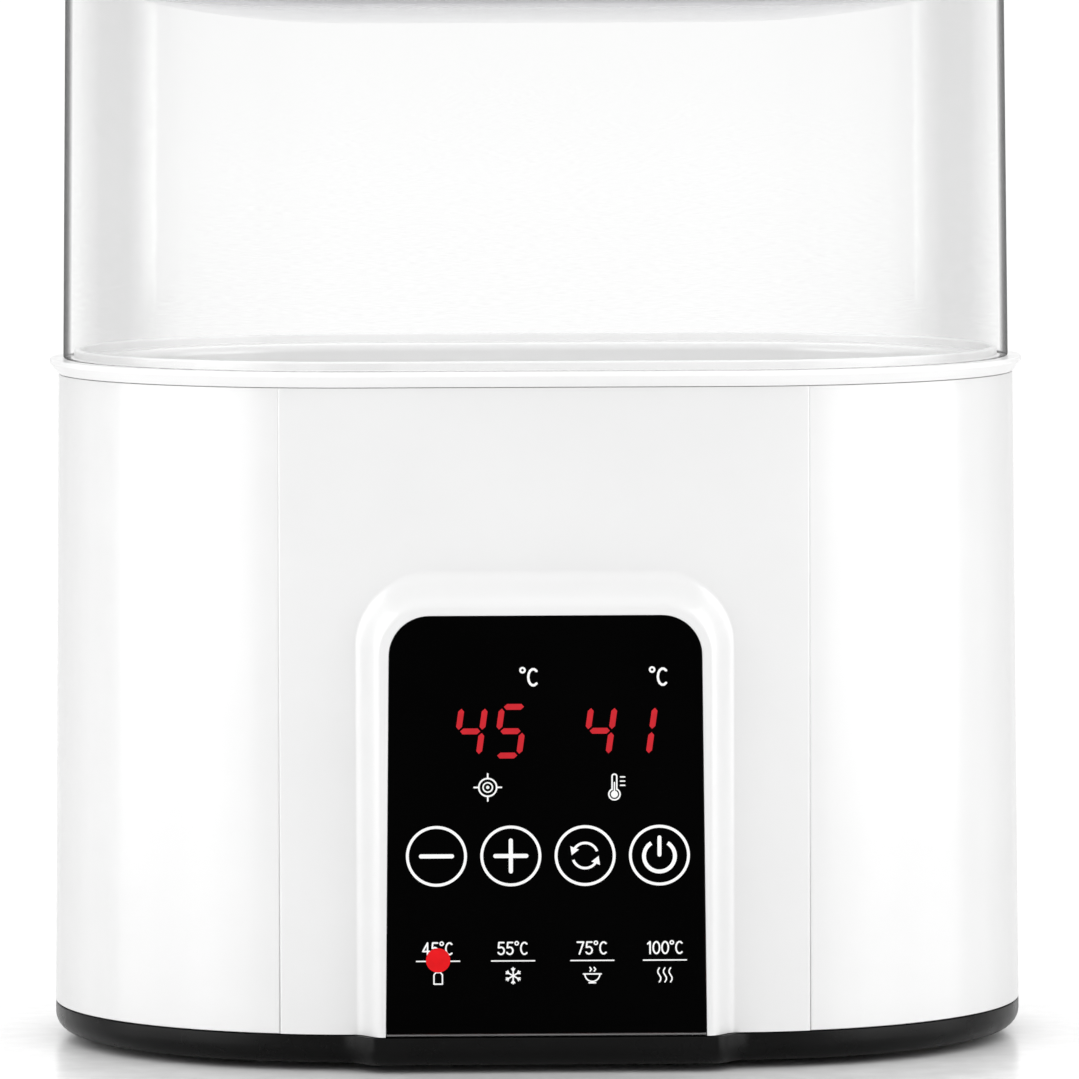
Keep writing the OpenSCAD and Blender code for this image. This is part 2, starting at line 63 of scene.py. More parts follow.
END = tray_hi.y                        # radius of the round ends at the foot
HALF = tray_hi.x - END                 # middle to the centre of each round end
SHELL_Z0 = casing_lo.z
SHELL_Z1 = casing_hi.z
SEAM_X = cover_hi.x                    # the front cover's edge
RIM_Z = hood_lo.z                      # the hood stands on the flange here
FLANGE_Z = seal_hi.z                   # underside of the flange
FLANGE_R = tank_hi.x - HALF
POD_Y = -cover_lo.y                    # face of the pod, ahead of the middle
GLASS_Y = -glass_lo.y                  # face of the window
WIDE_LO = glass_hi.x                   # half width of the window at its foot
WINDOW_TOP = glass_hi.z

DRAFT = 1.5 * MM                       # how far the casing leans in by the rim
WALL = 2.5 * MM
POD_HALF = 39.5 * MM
POD_TOP = 106 * MM
POD_CORNER = 14 * MM
WINDOW_CORNER = 8.5 * MM
WINDOW_TAPER = 0.9 * MM                # the window is this much narrower on each side at its top
SEAM_GAP = 0.16 * MM
SILL_H = 0.75 * MM                     # height of the bead under the window
SEAM_EDGE = 0.45 * MM                  # rounding of the mouldings along the seams
FLOOR_R = END - 12 * MM                # where the floor plate meets the band


def skin_radius(z):
    """Radius of the casing's round ends at height z."""
    return END - DRAFT * (z - SHELL_Z0) / (RIM_Z - SHELL_Z0)


def skin_y(x, z):
    """How far ahead of the middle the front of the casing is, at x and z."""
    r = skin_radius(z)
    over = max(0.0, abs(x) - HALF)
    return math.sqrt(max(r * r - over * over, 0.0))


def unit(v):
    """v held between 0 and 1."""
    return min(max(v, 0.0), 1.0)


def ease(t):
    """A soft start and end between 0 and 1."""
    return t * t * (3 - 2 * t)


# Materials

def material(name):
    m = bpy.data.materials.new(name)
    m.use_nodes = True
    tree = m.node_tree
    return m, tree, tree.nodes["Principled BSDF"]


def link(tree, a, out, b, inp):
    tree.links.new(a.outputs[out], b.inputs[inp])


def add(tree, kind, **values):
    """A new shader node with some of its inputs set."""
    made = tree.nodes.new("ShaderNode" + kind)
    for name, value in values.items():
        made.inputs[name].default_value = value
    return made


def noise(tree, scale, detail):
    """Noise in the object's own space, so its grain has a real size whatever the piece."""
    coords = add(tree, "TexCoord")
    tex = add(tree, "TexNoise", Scale=scale, Detail=detail, Roughness=0.5)
    link(tree, coords, "Object", tex, "Vector")
    return tex


def ramp(tree, src, out, stops):
    """Colours along a value, from (place, colour) stops."""
    r = add(tree, "ValToRGB")
    r.color_ramp.elements[0].position = stops[0][0]
    r.color_ramp.elements[0].color = (*stops[0][1], 1)
    r.color_ramp.elements[1].position = stops[-1][0]
    r.color_ramp.elements[1].color = (*stops[-1][1], 1)
    for at, colour in stops[1:-1]:
        e = r.color_ramp.elements.new(at)
        e.color = (*colour, 1)
    link(tree, src, out, r, "Fac")
    return r


def bump(tree, shader, src, out, strength, distance, under=None):
    """Relief on a shader, on top of another bump node if one is given."""
    b = add(tree, "Bump", Strength=strength, Distance=distance)
    link(tree, src, out, b, "Height")
    if under is not None:
        link(tree, under, "Normal", b, "Normal")
    link(tree, b, "Normal", shader, "Normal")
    return b


def grey(v):
    return (v, v, v)


def plastic(name, low, high, roughness, spread=0.05, coat=0.0, grain=900, depth=0.02, shine=0.5, edge=0.0):
    """Moulded plastic: slight mottling of its colour and gloss, a fine grain and a long soft ripple.

    Edge is how much painted shade darkens the colour where the surface turns away from the camera, so white
    parts stand out from a white studio; where it is set, the reflection is dimmed there as well.
    """
    m, tree, shader = material(name)
    mottle = noise(tree, 35, 4)
    tint = ramp(tree, mottle, "Fac", [(0.3, low), (0.7, high)])
    if edge:
        # Painted shade: the colour darkens and the reflection is dimmed where the surface turns away from the
        # camera.
        turn = add(tree, "LayerWeight", Blend=0.5)
        painted_edge_shade = ramp(tree, turn, "Facing", [(0.55, grey(1.0)), (0.8, grey(1.0 - edge))])
        tint_with_painted_shade = add(tree, "VectorMath")
        tint_with_painted_shade.operation = "MULTIPLY"
        link(tree, tint, "Color", tint_with_painted_shade, 0)
        link(tree, painted_edge_shade, "Color", tint_with_painted_shade, 1)
        link(tree, tint_with_painted_shade, "Vector", shader, "Base Color")
        sheen = ramp(tree, turn, "Facing", [(0.55, grey(shine)), (0.85, grey(shine * 0.3))])
        link(tree, sheen, "Color", shader, "Specular IOR Level")
    else:
        link(tree, tint, "Color", shader, "Base Color")
    gloss = ramp(tree, noise(tree, 140, 3), "Fac",
                 [(0.3, grey(max(roughness - spread, 0.02))), (0.7, grey(roughness + spread))])
    link(tree, gloss, "Color", shader, "Roughness")
    fine = noise(tree, grain, 3)
    ripple = noise(tree, 60, 1)
    first = bump(tree, shader, ripple, "Fac", 0.25, depth * MM * 4)
    bump(tree, shader, fine, "Fac", 0.3, depth * MM, first)
    shader.inputs["Coat Weight"].default_value = coat
    shader.inputs["Coat Roughness"].default_value = 0.04
    if not edge:
        shader.inputs["Specular IOR Level"].default_value = shine
    return m


def metal(name, low, high, roughness, scratch=(40, 2200, 40)):
    """Brushed metal: long fine scratches along two axes of the object."""
    m, tree, shader = material(name)
    coords = add(tree, "TexCoord")
    stretch = add(tree, "Mapping", Scale=scratch)
    link(tree, coords, "Object", stretch, "Vector")
    tex = add(tree, "TexNoise", Scale=1.0, Detail=4)
    link(tree, stretch, "Vector", tex, "Vector")
    tint = ramp(tree, tex, "Fac", [(0.3, low), (0.7, high)])
    link(tree, tint, "Color", shader, "Base Color")
    gloss = ramp(tree, tex, "Fac", [(0.3, grey(roughness * 0.7)), (0.7, grey(roughness * 1.3))])
    link(tree, gloss, "Color", shader, "Roughness")
    bump(tree, shader, tex, "Fac", 0.2, 0.02 * MM)
    shader.inputs["Metallic"].default_value = 1.0
    return m


def clear_plastic(name, tint_and_shade_stops, sheen):
    """Clear moulded wall. Light passes straight through it, and it darkens where it is seen edge on: its
    see-through tint from the stops is partly the wall's own and partly painted shade.
    """
    m, tree, shader = material(name)
    out = tree.nodes["Material Output"]
    facing = add(tree, "LayerWeight", Blend=0.5)
    wave = noise(tree, 14, 1)
    # Painted shade: the see-through colour drops where the wall is seen edge on, standing in for its dark
    # edge lines.
    tint_and_shade = ramp(tree, facing, "Facing", [(at, grey(v)) for at, v in tint_and_shade_stops])
    through = add(tree, "BsdfTransparent")
    link(tree, tint_and_shade, "Color", through, "Color")
    if not sheen:
        link(tree, through, "BSDF", out, "Surface")
        tree.nodes.remove(shader)
        return m
    gloss = add(tree, "BsdfGlossy", Roughness=0.2)
    soft = bump(tree, gloss, wave, "Fac", 0.15, 0.3 * MM)
    fresnel = add(tree, "Fresnel", IOR=1.45)
    link(tree, soft, "Normal", fresnel, "Normal")
    scale = add(tree, "Math")
    scale.operation = "MULTIPLY"
    scale.inputs[1].default_value = sheen
    link(tree, fresnel, "Fac", scale, 0)
    mix = add(tree, "MixShader")
    link(tree, scale, "Value", mix, "Fac")
    link(tree, through, "BSDF", mix, 1)
    link(tree, gloss, "BSDF", mix, 2)
    lit_through(tree, mix)
    tree.nodes.remove(shader)
    return m


def lit_through(tree, mix):
    """Shadow and scattered rays nearly all pass a mix shader's wall, so what is inside stays lit."""
    path = add(tree, "LightPath")
    either = add(tree, "Math")
    either.operation = "MAXIMUM"
    link(tree, path, "Is Shadow Ray", either, 0)
    link(tree, path, "Is Diffuse Ray", either, 1)
    seen = add(tree, "Math")
    seen.operation = "MULTIPLY_ADD"
    seen.inputs[1].default_value = -0.95
    seen.inputs[2].default_value = 1.0
    link(tree, either, "Value", seen, 0)
    clear = add(tree, "BsdfTransparent")
    top = add(tree, "MixShader")
    link(tree, seen, "Value", top, "Fac")
    link(tree, clear, "BSDF", top, 1)
    link(tree, mix, 0, top, 2)
    link(tree, top, "Shader", tree.nodes["Material Output"], "Surface")


def milky_plastic(name, colour, cover):
    """Glossy grey plastic that lets some light through."""
    m, tree, shader = material(name)
    mottle = ramp(tree, noise(tree, 22, 3), "Fac",
                  [(0.3, tuple(c * 0.95 for c in colour)), (0.7, colour)])
    link(tree, mottle, "Color", shader, "Base Color")
    shader.inputs["Roughness"].default_value = 0.1
    shader.inputs["Coat Weight"].default_value = 0.5
    bump(tree, shader, noise(tree, 30, 1), "Fac", 0.2, 0.25 * MM)
    through = add(tree, "BsdfTransparent")
    mix = add(tree, "MixShader", Fac=cover)
    link(tree, through, "BSDF", mix, 1)
    link(tree, shader, "BSDF", mix, 2)
    lit_through(tree, mix)
    return m


def glow(name, colour, strength):
    """Lit plastic, a little uneven across its face."""
    m, tree, shader = material(name)
    shader.inputs["Base Color"].default_value = (*[c * 0.05 for c in colour], 1)
    shader.inputs["Specular IOR Level"].default_value = 0.08
    uneven = ramp(tree, noise(tree, 500, 2), "Fac",
                  [(0.3, tuple(c * 0.88 for c in colour)), (0.7, colour)])
    link(tree, uneven, "Color", shader, "Emission Color")
    shader.inputs["Emission Strength"].default_value = strength
    return m


# How much light each clear wall lets through, from seen square on (0) to seen edge on (1). Partly the wall's
# own tint, and partly painted shade: the hood's dark edge lines and soft bands, and darker edges on the lid
# and the hood's inner face.
HOOD_TINT_AND_SHADE = [(0.0, 0.968), (0.2, 0.938), (0.31, 0.885), (0.38, 0.845), (0.52, 0.86), (0.655, 0.935),
             (0.76, 1.0), (0.83, 0.5), (0.9, 0.36), (1.0, 0.36)]
INNER_TINT_AND_SHADE = [(0.0, 1.0), (0.8, 0.995), (1.0, 0.97)]
LID_TINT_AND_SHADE = [(0.0, 0.97), (0.6, 0.93), (0.85, 0.8), (1.0, 0.5)]

# The whites and the rack carry painted shade where they turn away from the camera (edge).
WHITE = plastic("white_gloss", grey(0.74), grey(0.76), 0.24, 0.03, coat=0.08, grain=1500, depth=0.006,
                edge=0.14)
# The liner is a lighter white than the casing: painted light that makes up for the shade round the rim.
LINER = plastic("white_liner", grey(0.85), grey(0.87), 0.22, 0.04, coat=0.1, grain=1200, depth=0.008,
                edge=0.14)
RACK = plastic("rack_white", grey(0.64), grey(0.69), 0.36, 0.06, grain=1200, depth=0.015, edge=0.25)
BAND = plastic("dark_band", grey(0.0015), grey(0.003), 0.3, 0.06, grain=2600, depth=0.02, shine=0.09)
WINDOW = plastic("window_black", grey(0.0003), grey(0.0006), 0.06, 0.015, grain=600, depth=0.001, shine=0.01)
# The bead's grey is a painted highlight line under the window.
SILL_PAINTED_HIGHLIGHT = plastic("sill_painted_highlight", grey(0.16), grey(0.20), 0.3, 0.05, grain=2000, depth=0.01, shine=0.3)
MARK = plastic("printed_mark", grey(0.80), grey(0.88), 0.5, 0.05, grain=3000, depth=0.004)
RUBBER = plastic("foot_rubber", grey(0.02), grey(0.035), 0.75, 0.08, grain=2600, depth=0.06)
CORD = plastic("cord_jacket", grey(0.02), grey(0.032), 0.5, 0.06, grain=2600, depth=0.04)
SEAL = plastic("seal_silicone", grey(0.30), grey(0.36), 0.5, 0.05)
KNOB = plastic("knob_grey", (0.50, 0.50, 0.52), (0.56, 0.56, 0.58), 0.18, 0.04, coat=0.4)
CLEAR = clear_plastic("clear_hood", HOOD_TINT_AND_SHADE, 0.1)
CLEAR_IN = clear_plastic("clear_hood_inside", INNER_TINT_AND_SHADE, 0)
CLEAR_LID = clear_plastic("clear_lid", LID_TINT_AND_SHADE, 0.25)
MILKY = milky_plastic("milky_tray", (0.50, 0.50, 0.52), 0.8)
DIGITS = glow("digit_red", (0.62, 0.02, 0.03), 1.0)
LAMP = glow("lamp_red", (0.8, 0.008, 0.012), 1.0)

# Mesh tools

def finish_mesh(name, bm, mat, smooth=True, sharp=35, merge=True):
    """Turns a bmesh into a piece. Strokes that only touch stay apart if merge is off."""
    if merge:
        bmesh.ops.remove_doubles(bm, verts=bm.verts, dist=0.002 * MM)
        bmesh.ops.dissolve_degenerate(bm, edges=bm.edges, dist=0.001 * MM)
    bmesh.ops.delete(bm, geom=[e for e in bm.edges if not e.link_faces], context="EDGES")
    bmesh.ops.recalc_face_normals(bm, faces=bm.faces)
    for f in bm.faces:
        f.smooth = smooth
    for e in bm.edges:
        if len(e.link_faces) == 2 and e.calc_face_angle(0) > math.radians(sharp):
            e.smooth = False
    mesh = bpy.data.meshes.new(name)
    bm.to_mesh(mesh)
    bm.free()
    obj = bpy.data.objects.new(name, mesh)
    bpy.context.scene.collection.objects.link(obj)
    mesh.materials.append(mat)
    if smooth:
        weighted = obj.modifiers.new("weighted_normals", "WEIGHTED_NORMAL")
        weighted.keep_sharp = True
    return obj


def skin_rows(bm, rows, loop_rows=False, loop_points=False):
    """Quads between neighbouring rows of points."""
    verts = [[bm.verts.new(p) for p in row] for row in rows]
    count = len(verts[0])
    pairs = list(zip(verts, verts[1:]))
    if loop_rows:
        pairs.append((verts[-1], verts[0]))
    for a, b in pairs:
        for i in range(count if loop_points else count - 1):
            j = (i + 1) % count
            bm.faces.new((a[i], a[j], b[j], b[i]))
    return verts


def filleted(points, steps=5):
    """A closed outline from (x, y, radius) corners, each rounded to its radius."""
    out = []
    n = len(points)
    for i, (x, y, r) in enumerate(points):
        p = Vector((x, y))
        a = Vector(points[i - 1][:2]) - p
        b = Vector(points[(i + 1) % n][:2]) - p
        turn = a.angle(b, math.pi) if a.length > 0 and b.length > 0 else math.pi
        if r <= 0 or turn > math.radians(176):
            out.append((x, y))
            continue
        back = min(r / math.tan(turn / 2), 0.49 * a.length, 0.49 * b.length)
        r = back * math.tan(turn / 2)
        mid = p + (a.normalized() + b.normalized()).normalized() * (r / math.sin(turn / 2))
        start, end = p + a.normalized() * back, p + b.normalized() * back
        a0 = math.atan2(start.y - mid.y, start.x - mid.x)
        a1 = math.atan2(end.y - mid.y, end.x - mid.x)
        sweep = (a1 - a0 + math.pi) % (2 * math.pi) - math.pi
        for k in range(steps + 1):
            t = a0 + sweep * k / steps
            out.append((mid.x + r * math.cos(t), mid.y + r * math.sin(t)))
    return out


def oval_stations(arc=56, line=20):
    """Stations round the oval: a point on the spine between the end centres, and the way out from it."""
    out = []
    for side in (1, -1):
        for i in range(arc):
            t = math.pi * i / arc - side * math.pi / 2
            out.append((side * HALF, 0.0, math.cos(t), math.sin(t)))
        for i in range(line):
            x = side * HALF * (1 - 2 * i / line)
            out.append((x, 0.0, 0.0, float(side)))
    return out


def oval_loft(name, profile, mat, closed=True, stations=None, sharp=35):
    """Carries a profile of (radius, height) points right round the oval."""
    stations = stations or oval_stations()
    bm = bmesh.new()
    rows = [[(x + nx * r, y + ny * r, z) for x, y, nx, ny in stations] for r, z in profile]
    skin_rows(bm, rows, loop_rows=closed, loop_points=True)
    return finish_mesh(name, bm, mat, sharp=sharp)


def arch(half0, half1, z0, z1, corner, up=26, arc=14, across=20):
    """Points up the left side, round the top and down the right. Every arch has the same count of points."""
    pts = []
    for i in range(up):
        t = i / up
        pts.append((-(half0 + (half1 - half0) * t), z0 + (z1 - corner - z0) * t))
    for i in range(arc):
        a = math.pi - math.pi / 2 * i / arc
        pts.append((-half1 + corner + corner * math.cos(a), z1 - corner + corner * math.sin(a)))
    for i in range(across):
        pts.append((-half1 + corner + 2 * (half1 - corner) * i / across, z1))
    for i in range(arc):
        a = math.pi / 2 * (1 - i / arc)
        pts.append((half1 - corner + corner * math.cos(a), z1 - corner + corner * math.sin(a)))
    for i in range(up + 1):
        t = 1 - i / up
        pts.append((half0 + (half1 - half0) * t, z0 + (z1 - corner - z0) * t))
    return pts


def window_arch(grow, foot=0.0):
    return arch(WIDE_LO + grow, WIDE_LO - WINDOW_TAPER + grow, SHELL_Z0 + foot, WINDOW_TOP + grow,
                max(WINDOW_CORNER + grow, 1 * MM))


def pod_arch(t):
    """Outlines of the pod's soft edge, from the rim of its face (0) out to the casing (1)."""
    half = POD_HALF - 4.4 * MM + 5.6 * MM * t
    return arch(half, half, SHELL_Z0, POD_TOP - 6.5 * MM + 8 * MM * t, POD_CORNER - 4 * MM + 6 * MM * t)


# Casing

def cover_border(inset=0.0):
    """The front cover's own edge, with its points shared out like an arch's."""
    return arch(SEAM_X - inset, SEAM_X - inset, SHELL_Z0, SHELL_Z1 - 0.4 * inset, 0.3 * MM)


def front_cover():
    """The cover between the seams: a flat pod face, a soft shoulder round it, and the casing's own curve."""
    rows = []
    face = POD_Y

    def row(outline, ahead):
        rows.append([(x, -(ahead(x, z) if callable(ahead) else ahead), z) for x, z in outline])

    row(window_arch(0.12 * MM), face - 3 * MM)
    row(window_arch(0.12 * MM), face - 0.5 * MM)
    row(window_arch(0.2 * MM), face - 0.15 * MM)
    row(window_arch(0.5 * MM), face)
    rise = 18
    for k in range(rise + 1):
        t = k / rise
        row(pod_arch(t), lambda x, z, share=ease(t): face + (skin_y(x, z) - face) * share)
    inner, outer = pod_arch(1), cover_border(SEAM_EDGE)
    steps = 14
    for k in range(1, steps + 1):
        t = k / steps
        row([(a[0] + (b[0] - a[0]) * t, a[1] + (b[1] - a[1]) * t) for a, b in zip(inner, outer)], skin_y)
    for k in range(1, 6):
        t = math.pi / 2 * k / 5
        row(cover_border(SEAM_EDGE * (1 - math.sin(t))),
            lambda x, z, t=t: skin_y(x, z) - SEAM_EDGE * (1 - math.cos(t)))
    row(cover_border(), lambda x, z: skin_y(x, z) - WALL)
    bm = bmesh.new()
    skin_rows(bm, rows)
    return finish_mesh("casing_front", bm, WHITE, sharp=50)


def round_seam(row, end):
    """Rounds one end of a row of casing points into the seam, then turns it in by the wall's thickness."""
    p = Vector(row[end])
    side = 1 if p.x > 0 else -1
    out = Vector((p.x - side * HALF, p.y, 0)).normalized()
    along = Vector((-side * abs(out.y), -out.x * side * (1 if out.y < 0 else -1), 0))
    mid = p - out * SEAM_EDGE
    turned = [mid + (out * math.cos(t) + along * math.sin(t)) * SEAM_EDGE
              for t in (math.pi / 2 * k / 4 for k in range(1, 5))]
    turned.append(turned[-1] - out * (WALL - SEAM_EDGE))
    for point in turned:
        row.insert(0, tuple(point)) if end == 0 else row.append(tuple(point))


def rear_shell():
    """Both ends and the back of the casing, with soft edges at the seams and a lip under the rim."""
    start = math.asin((SEAM_X + SEAM_GAP + SEAM_EDGE - HALF) / END) - math.pi / 2
    arc, flat, tall = 70, 16, 24       # steps round each end, along the back and up the side
    turns = [start + (math.pi / 2 - start) * i / arc for i in range(arc + 1)]
    plan = [(HALF, math.cos(t), math.sin(t)) for t in turns]
    plan += [(HALF - 2 * HALF * i / flat, 0.0, 1.0) for i in range(1, flat)]
    plan += [(-HALF, math.cos(math.pi - t), math.sin(math.pi - t)) for t in reversed(turns)]
    heights = [SHELL_Z0 + (SHELL_Z1 - SHELL_Z0) * i / tall for i in range(tall + 1)]
    edge, lip = 0.2 * MM, 4.5 * MM
    foot, head = skin_radius(SHELL_Z0), skin_radius(SHELL_Z1)
    heights[0] += edge
    heights[-1] -= edge
    levels = [(foot - WALL, SHELL_Z0), (foot - edge, SHELL_Z0)]
    levels += [(skin_radius(z), z) for z in heights]
    levels += [(head - edge, SHELL_Z1), (head - lip, SHELL_Z1)]
    rows = [[(x + nx * r, ny * r, z) for x, nx, ny in plan] for r, z in levels]
    for row in rows:
        round_seam(row, 0)
        round_seam(row, -1)
    bm = bmesh.new()
    skin_rows(bm, rows)
    return finish_mesh("casing_rear", bm, WHITE, sharp=50)


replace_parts(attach(front_cover(), "base"), "front_cover")
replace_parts(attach(rear_shell(), "base"), "rear_shell")


def base_band():
    """The dark moulding round the foot: a rounded lower edge, and a soft step forward under the pod."""
    top = SHELL_Z0 - SEAM_GAP
    low = tray_lo.z
    rounding = 4 * MM
    step = POD_Y - END
    step_end, step_run = POD_HALF + 2.5 * MM, 5.5 * MM
    fade = 5 * MM                      # the step dies out over this on the way to the floor plate

    def plan_point(x, nx, ny, r):
        px, py = x + nx * r, ny * r
        if py < 0:
            py -= step * ease(unit((step_end - abs(px)) / step_run)) * unit((r - FLOOR_R) / fade)
        return px, py

    profile = [(END - WALL, low + WALL), (END - WALL, top), (END - 0.3 * MM, top), (END, top - 0.3 * MM)]
    for k in range(9):
        t = math.pi / 2 * k / 8
        profile.append((END - rounding + rounding * math.cos(t), low + rounding - rounding * math.sin(t)))
    profile += [(FLOOR_R, low), (FLOOR_R, low + WALL)]
    rows = [[(*plan_point(x, nx, ny, r), z) for x, y, nx, ny in oval_stations(72, 120)] for r, z in profile]
    bm = bmesh.new()
    skin_rows(bm, rows, loop_rows=True, loop_points=True)
    return finish_mesh("foot_band", bm, BAND, sharp=60)


def circle(x, y, r, count=32):
    """Points round a circle."""
    return [(x + r * math.cos(2 * math.pi * k / count), y + r * math.sin(2 * math.pi * k / count))
            for k in range(count)]


def slot_outline(x, length, width):
    """A slot along y with round ends."""
    out = []
    for side in (1, -1):
        for k in range(11):
            t = math.pi * k / 10 + (0 if side > 0 else math.pi)
            out.append((x + width / 2 * math.cos(t), side * (length - width) / 2 + width / 2 * math.sin(t)))
    return out


def floor_plate():
    """The underside: vents across the middle and four screw wells."""
    low = tray_lo.z
    reach = FLOOR_R + 0.02 * MM
    outline = [(x + nx * reach, ny * reach) for x, y, nx, ny in oval_stations(48, 24)]
    holes = [slot_outline(x * MM, 36 * MM, 3 * MM) for x in range(-24, 25, 8)]
    holes += [circle(sx * HALF, sy * 50 * MM, 3.6 * MM) for sx in (-1, 1) for sy in (-1, 1)]
    bm = bmesh.new()
    edges = []
    for loop in [outline] + holes:
        verts = [bm.verts.new((x, y, low)) for x, y in loop]
        edges += [bm.edges.new((v, verts[(i + 1) % len(verts)])) for i, v in enumerate(verts)]
    bmesh.ops.triangle_fill(bm, use_beauty=True, edges=edges)
    raised = bmesh.ops.extrude_face_region(bm, geom=bm.faces[:])
    tops = [g for g in raised["geom"] if isinstance(g, bmesh.types.BMVert)]
    bmesh.ops.translate(bm, vec=(0, 0, WALL), verts=tops)
    # The extrusion lists its faces in an order that varies from run to run, so they are put in order here
    order = {f: i for i, f in enumerate(sorted(bm.faces, key=lambda f: tuple(f.calc_center_median())))}
    bm.faces.sort(key=order.get)
    return finish_mesh("floor_plate", bm, BAND, sharp=30)


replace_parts(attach(base_band(), "base"), "base_tray")
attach(floor_plate(), "base")


def window_pane():
    """The glossy window: a thin plate with a fine polished bevel."""
    bevel = 0.25 * MM
    rows = []
    for grow, behind in ((0.0, 1.8 * MM), (0.0, bevel), (-bevel * 0.4, bevel * 0.3), (-bevel, 0.0)):
        rows.append([(x, behind - GLASS_Y, z) for x, z in window_arch(grow, SILL_H)])
    bm = bmesh.new()
    verts = skin_rows(bm, rows)
    bm.faces.new(verts[-1])
    return finish_mesh("window_pane", bm, WINDOW, sharp=30)


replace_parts(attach(window_pane(), "base"), "panel_window")


def window_sill():
    """The thin bead between the window's foot and the dark band; its grey is a painted highlight line along
    the window's foot.
    """
    rows = []
    for k in range(9):
        t = math.pi * k / 8
        y = -(GLASS_Y - 1.5 * MM + 1.5 * MM * math.sin(t))
        z = SHELL_Z0 + SILL_H / 2 - SILL_H / 2 * math.cos(t)
        rows.append([(x * WIDE_LO / 20, y, z) for x in range(-20, 21)])
    bm = bmesh.new()
    verts = skin_rows(bm, rows, loop_rows=True)
    bm.faces.new([row[0] for row in verts])
    bm.faces.new([row[-1] for row in verts])
    return finish_mesh("window_sill", bm, SILL_PAINTED_HIGHLIGHT)


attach(window_sill(), "base")

# Marks on the window

INK = 0.04 * MM                        # the print stands this proud of the window
LINE = 0.62 * MM                       # width of a printed line
STAGGER = 0.003 * MM                   # neighbouring strokes differ in height by this where they cross


class Marks:
    """Flat marks on the window, built from strokes with round ends, rings and filled outlines."""

    def __init__(self, ahead):
        self.bm = bmesh.new()
        self.y = -(GLASS_Y + ahead)
        self.count = 0

    def fill(self, points):
        self.count += 1
        y = self.y - self.count % 7 * STAGGER
        front = [self.bm.verts.new((x, y, z)) for x, z in points]
        back = [self.bm.verts.new((x, self.y + INK, z)) for x, z in points]
        self.bm.faces.new(front)
        self.bm.faces.new(list(reversed(back)))
        n = len(points)
        for i in range(n):
            j = (i + 1) % n
            self.bm.faces.new((front[i], front[j], back[j], back[i]))

    def line(self, a, b, width=LINE):
        a, b = Vector(a), Vector(b)
        way = math.atan2(b.y - a.y, b.x - a.x)
        pts = []
        for centre, first in ((b, way - math.pi / 2), (a, way + math.pi / 2)):
            for k in range(8):
                t = first + math.pi * k / 7
                pts.append((centre.x + width / 2 * math.cos(t), centre.y + width / 2 * math.sin(t)))
        self.fill(pts)

    def path(self, points, width=LINE):
        for a, b in zip(points, points[1:]):
            self.line(a, b, width)

    def arc(self, centre, radius, start, end, width=LINE, steps=40):
        whole = end - start == 360
        count = steps if whole else steps + 1
        turns = [math.radians(start + (end - start) * k / steps) for k in range(count)]
        self.count += 1
        front, back = self.y - self.count % 7 * STAGGER, self.y + INK
        outer, inner = radius + width / 2, radius - width / 2
        rows = [[(centre[0] + r * math.cos(t), y, centre[1] + r * math.sin(t)) for t in turns]
                for r, y in ((outer, front), (inner, front), (inner, back), (outer, back))]
        verts = skin_rows(self.bm, rows, loop_rows=True, loop_points=whole)
        if not whole:
            self.bm.faces.new([row[0] for row in verts])
            self.bm.faces.new([row[-1] for row in verts])

    def ring(self, centre, radius, width=LINE):
        self.arc(centre, radius, 0, 360, width, 64)

    def disc(self, centre, radius):
        self.fill(circle(*centre, radius, 28))

    def done(self, name, mat):
        return finish_mesh(name, self.bm, mat, smooth=False, merge=False)


# Strokes of the numerals on a unit cell, 0.6 wide and 1 high
NUMERALS = {
    "0": [[(0.3 + 0.25 * math.cos(t * math.pi / 8), 0.5 + 0.46 * math.sin(t * math.pi / 8))
           for t in range(17)]],
    "1": [[(0.15, 0.8), (0.33, 0.96), (0.33, 0.04)]],
    "4": [[(0.4, 0.04), (0.4, 0.96), (0.04, 0.3), (0.56, 0.3)]],
    "5": [[(0.5, 0.96), (0.13, 0.96), (0.09, 0.56)] +
          [(0.28 + 0.25 * math.cos(math.radians(a)), 0.32 + 0.28 * math.sin(math.radians(a)))
           for a in range(120, -151, -30)]],
    "7": [[(0.06, 0.96), (0.54, 0.96), (0.22, 0.04)]],
    "C": [[(0.34 + 0.28 * math.cos(math.radians(a)), 0.5 + 0.46 * math.sin(math.radians(a)))
           for a in range(50, 311, 26)]],
}


def write(marks, text, x, z, height, width):
    """Centres numerals on x, with z as their foot. A small ring stands for the degree sign."""
    step = {"1": 0.52, "o": 0.4}
    total = sum(step.get(c, 0.68) for c in text) * height
    at = x - total / 2
    for c in text:
        if c == "o":
            marks.ring((at + 0.14 * height, z + 0.9 * height), 0.13 * height, width * 0.8)
        else:
            for stroke in NUMERALS[c]:
                marks.path([(at + px * height, z + pz * height) for px, pz in stroke], width)
        at += step.get(c, 0.68) * height


leds_lo, leds_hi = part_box("mode_leds")
pads_lo, pads_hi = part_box("touch_pads")
digits_lo, digits_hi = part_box("led_display")

KEY_Z = (pads_lo.z + pads_hi.z) / 2
KEY_X = (pads_lo.x + pads_hi.x) / 2
KEY_PITCH = (pads_hi.x - pads_lo.x - (pads_hi.z - pads_lo.z)) / 3
KEY_XS = [KEY_X + (i - 1.5) * KEY_PITCH for i in range(4)]
KEY_R = 6.2 * MM
MODE_Z = (leds_lo.z + leds_hi.z) / 2
MODE_XS = [-23.1 * MM, -7.1 * MM, 9.8 * MM, 25.3 * MM]
DIGIT_Z = (digits_lo.z + digits_hi.z) / 2
DIGIT_XS = [digits_lo.x + 12.5 * MM, digits_hi.x - 12.5 * MM]
DIGIT_PITCH, DIGIT_H, DIGIT_W = 8.6 * MM, 10.4 * MM, 5.0 * MM
BAR_T, BAR_GAP = 1.25 * MM, 0.35 * MM  # thickness of a bar, and the gap left at each end
SLANT = 0.14


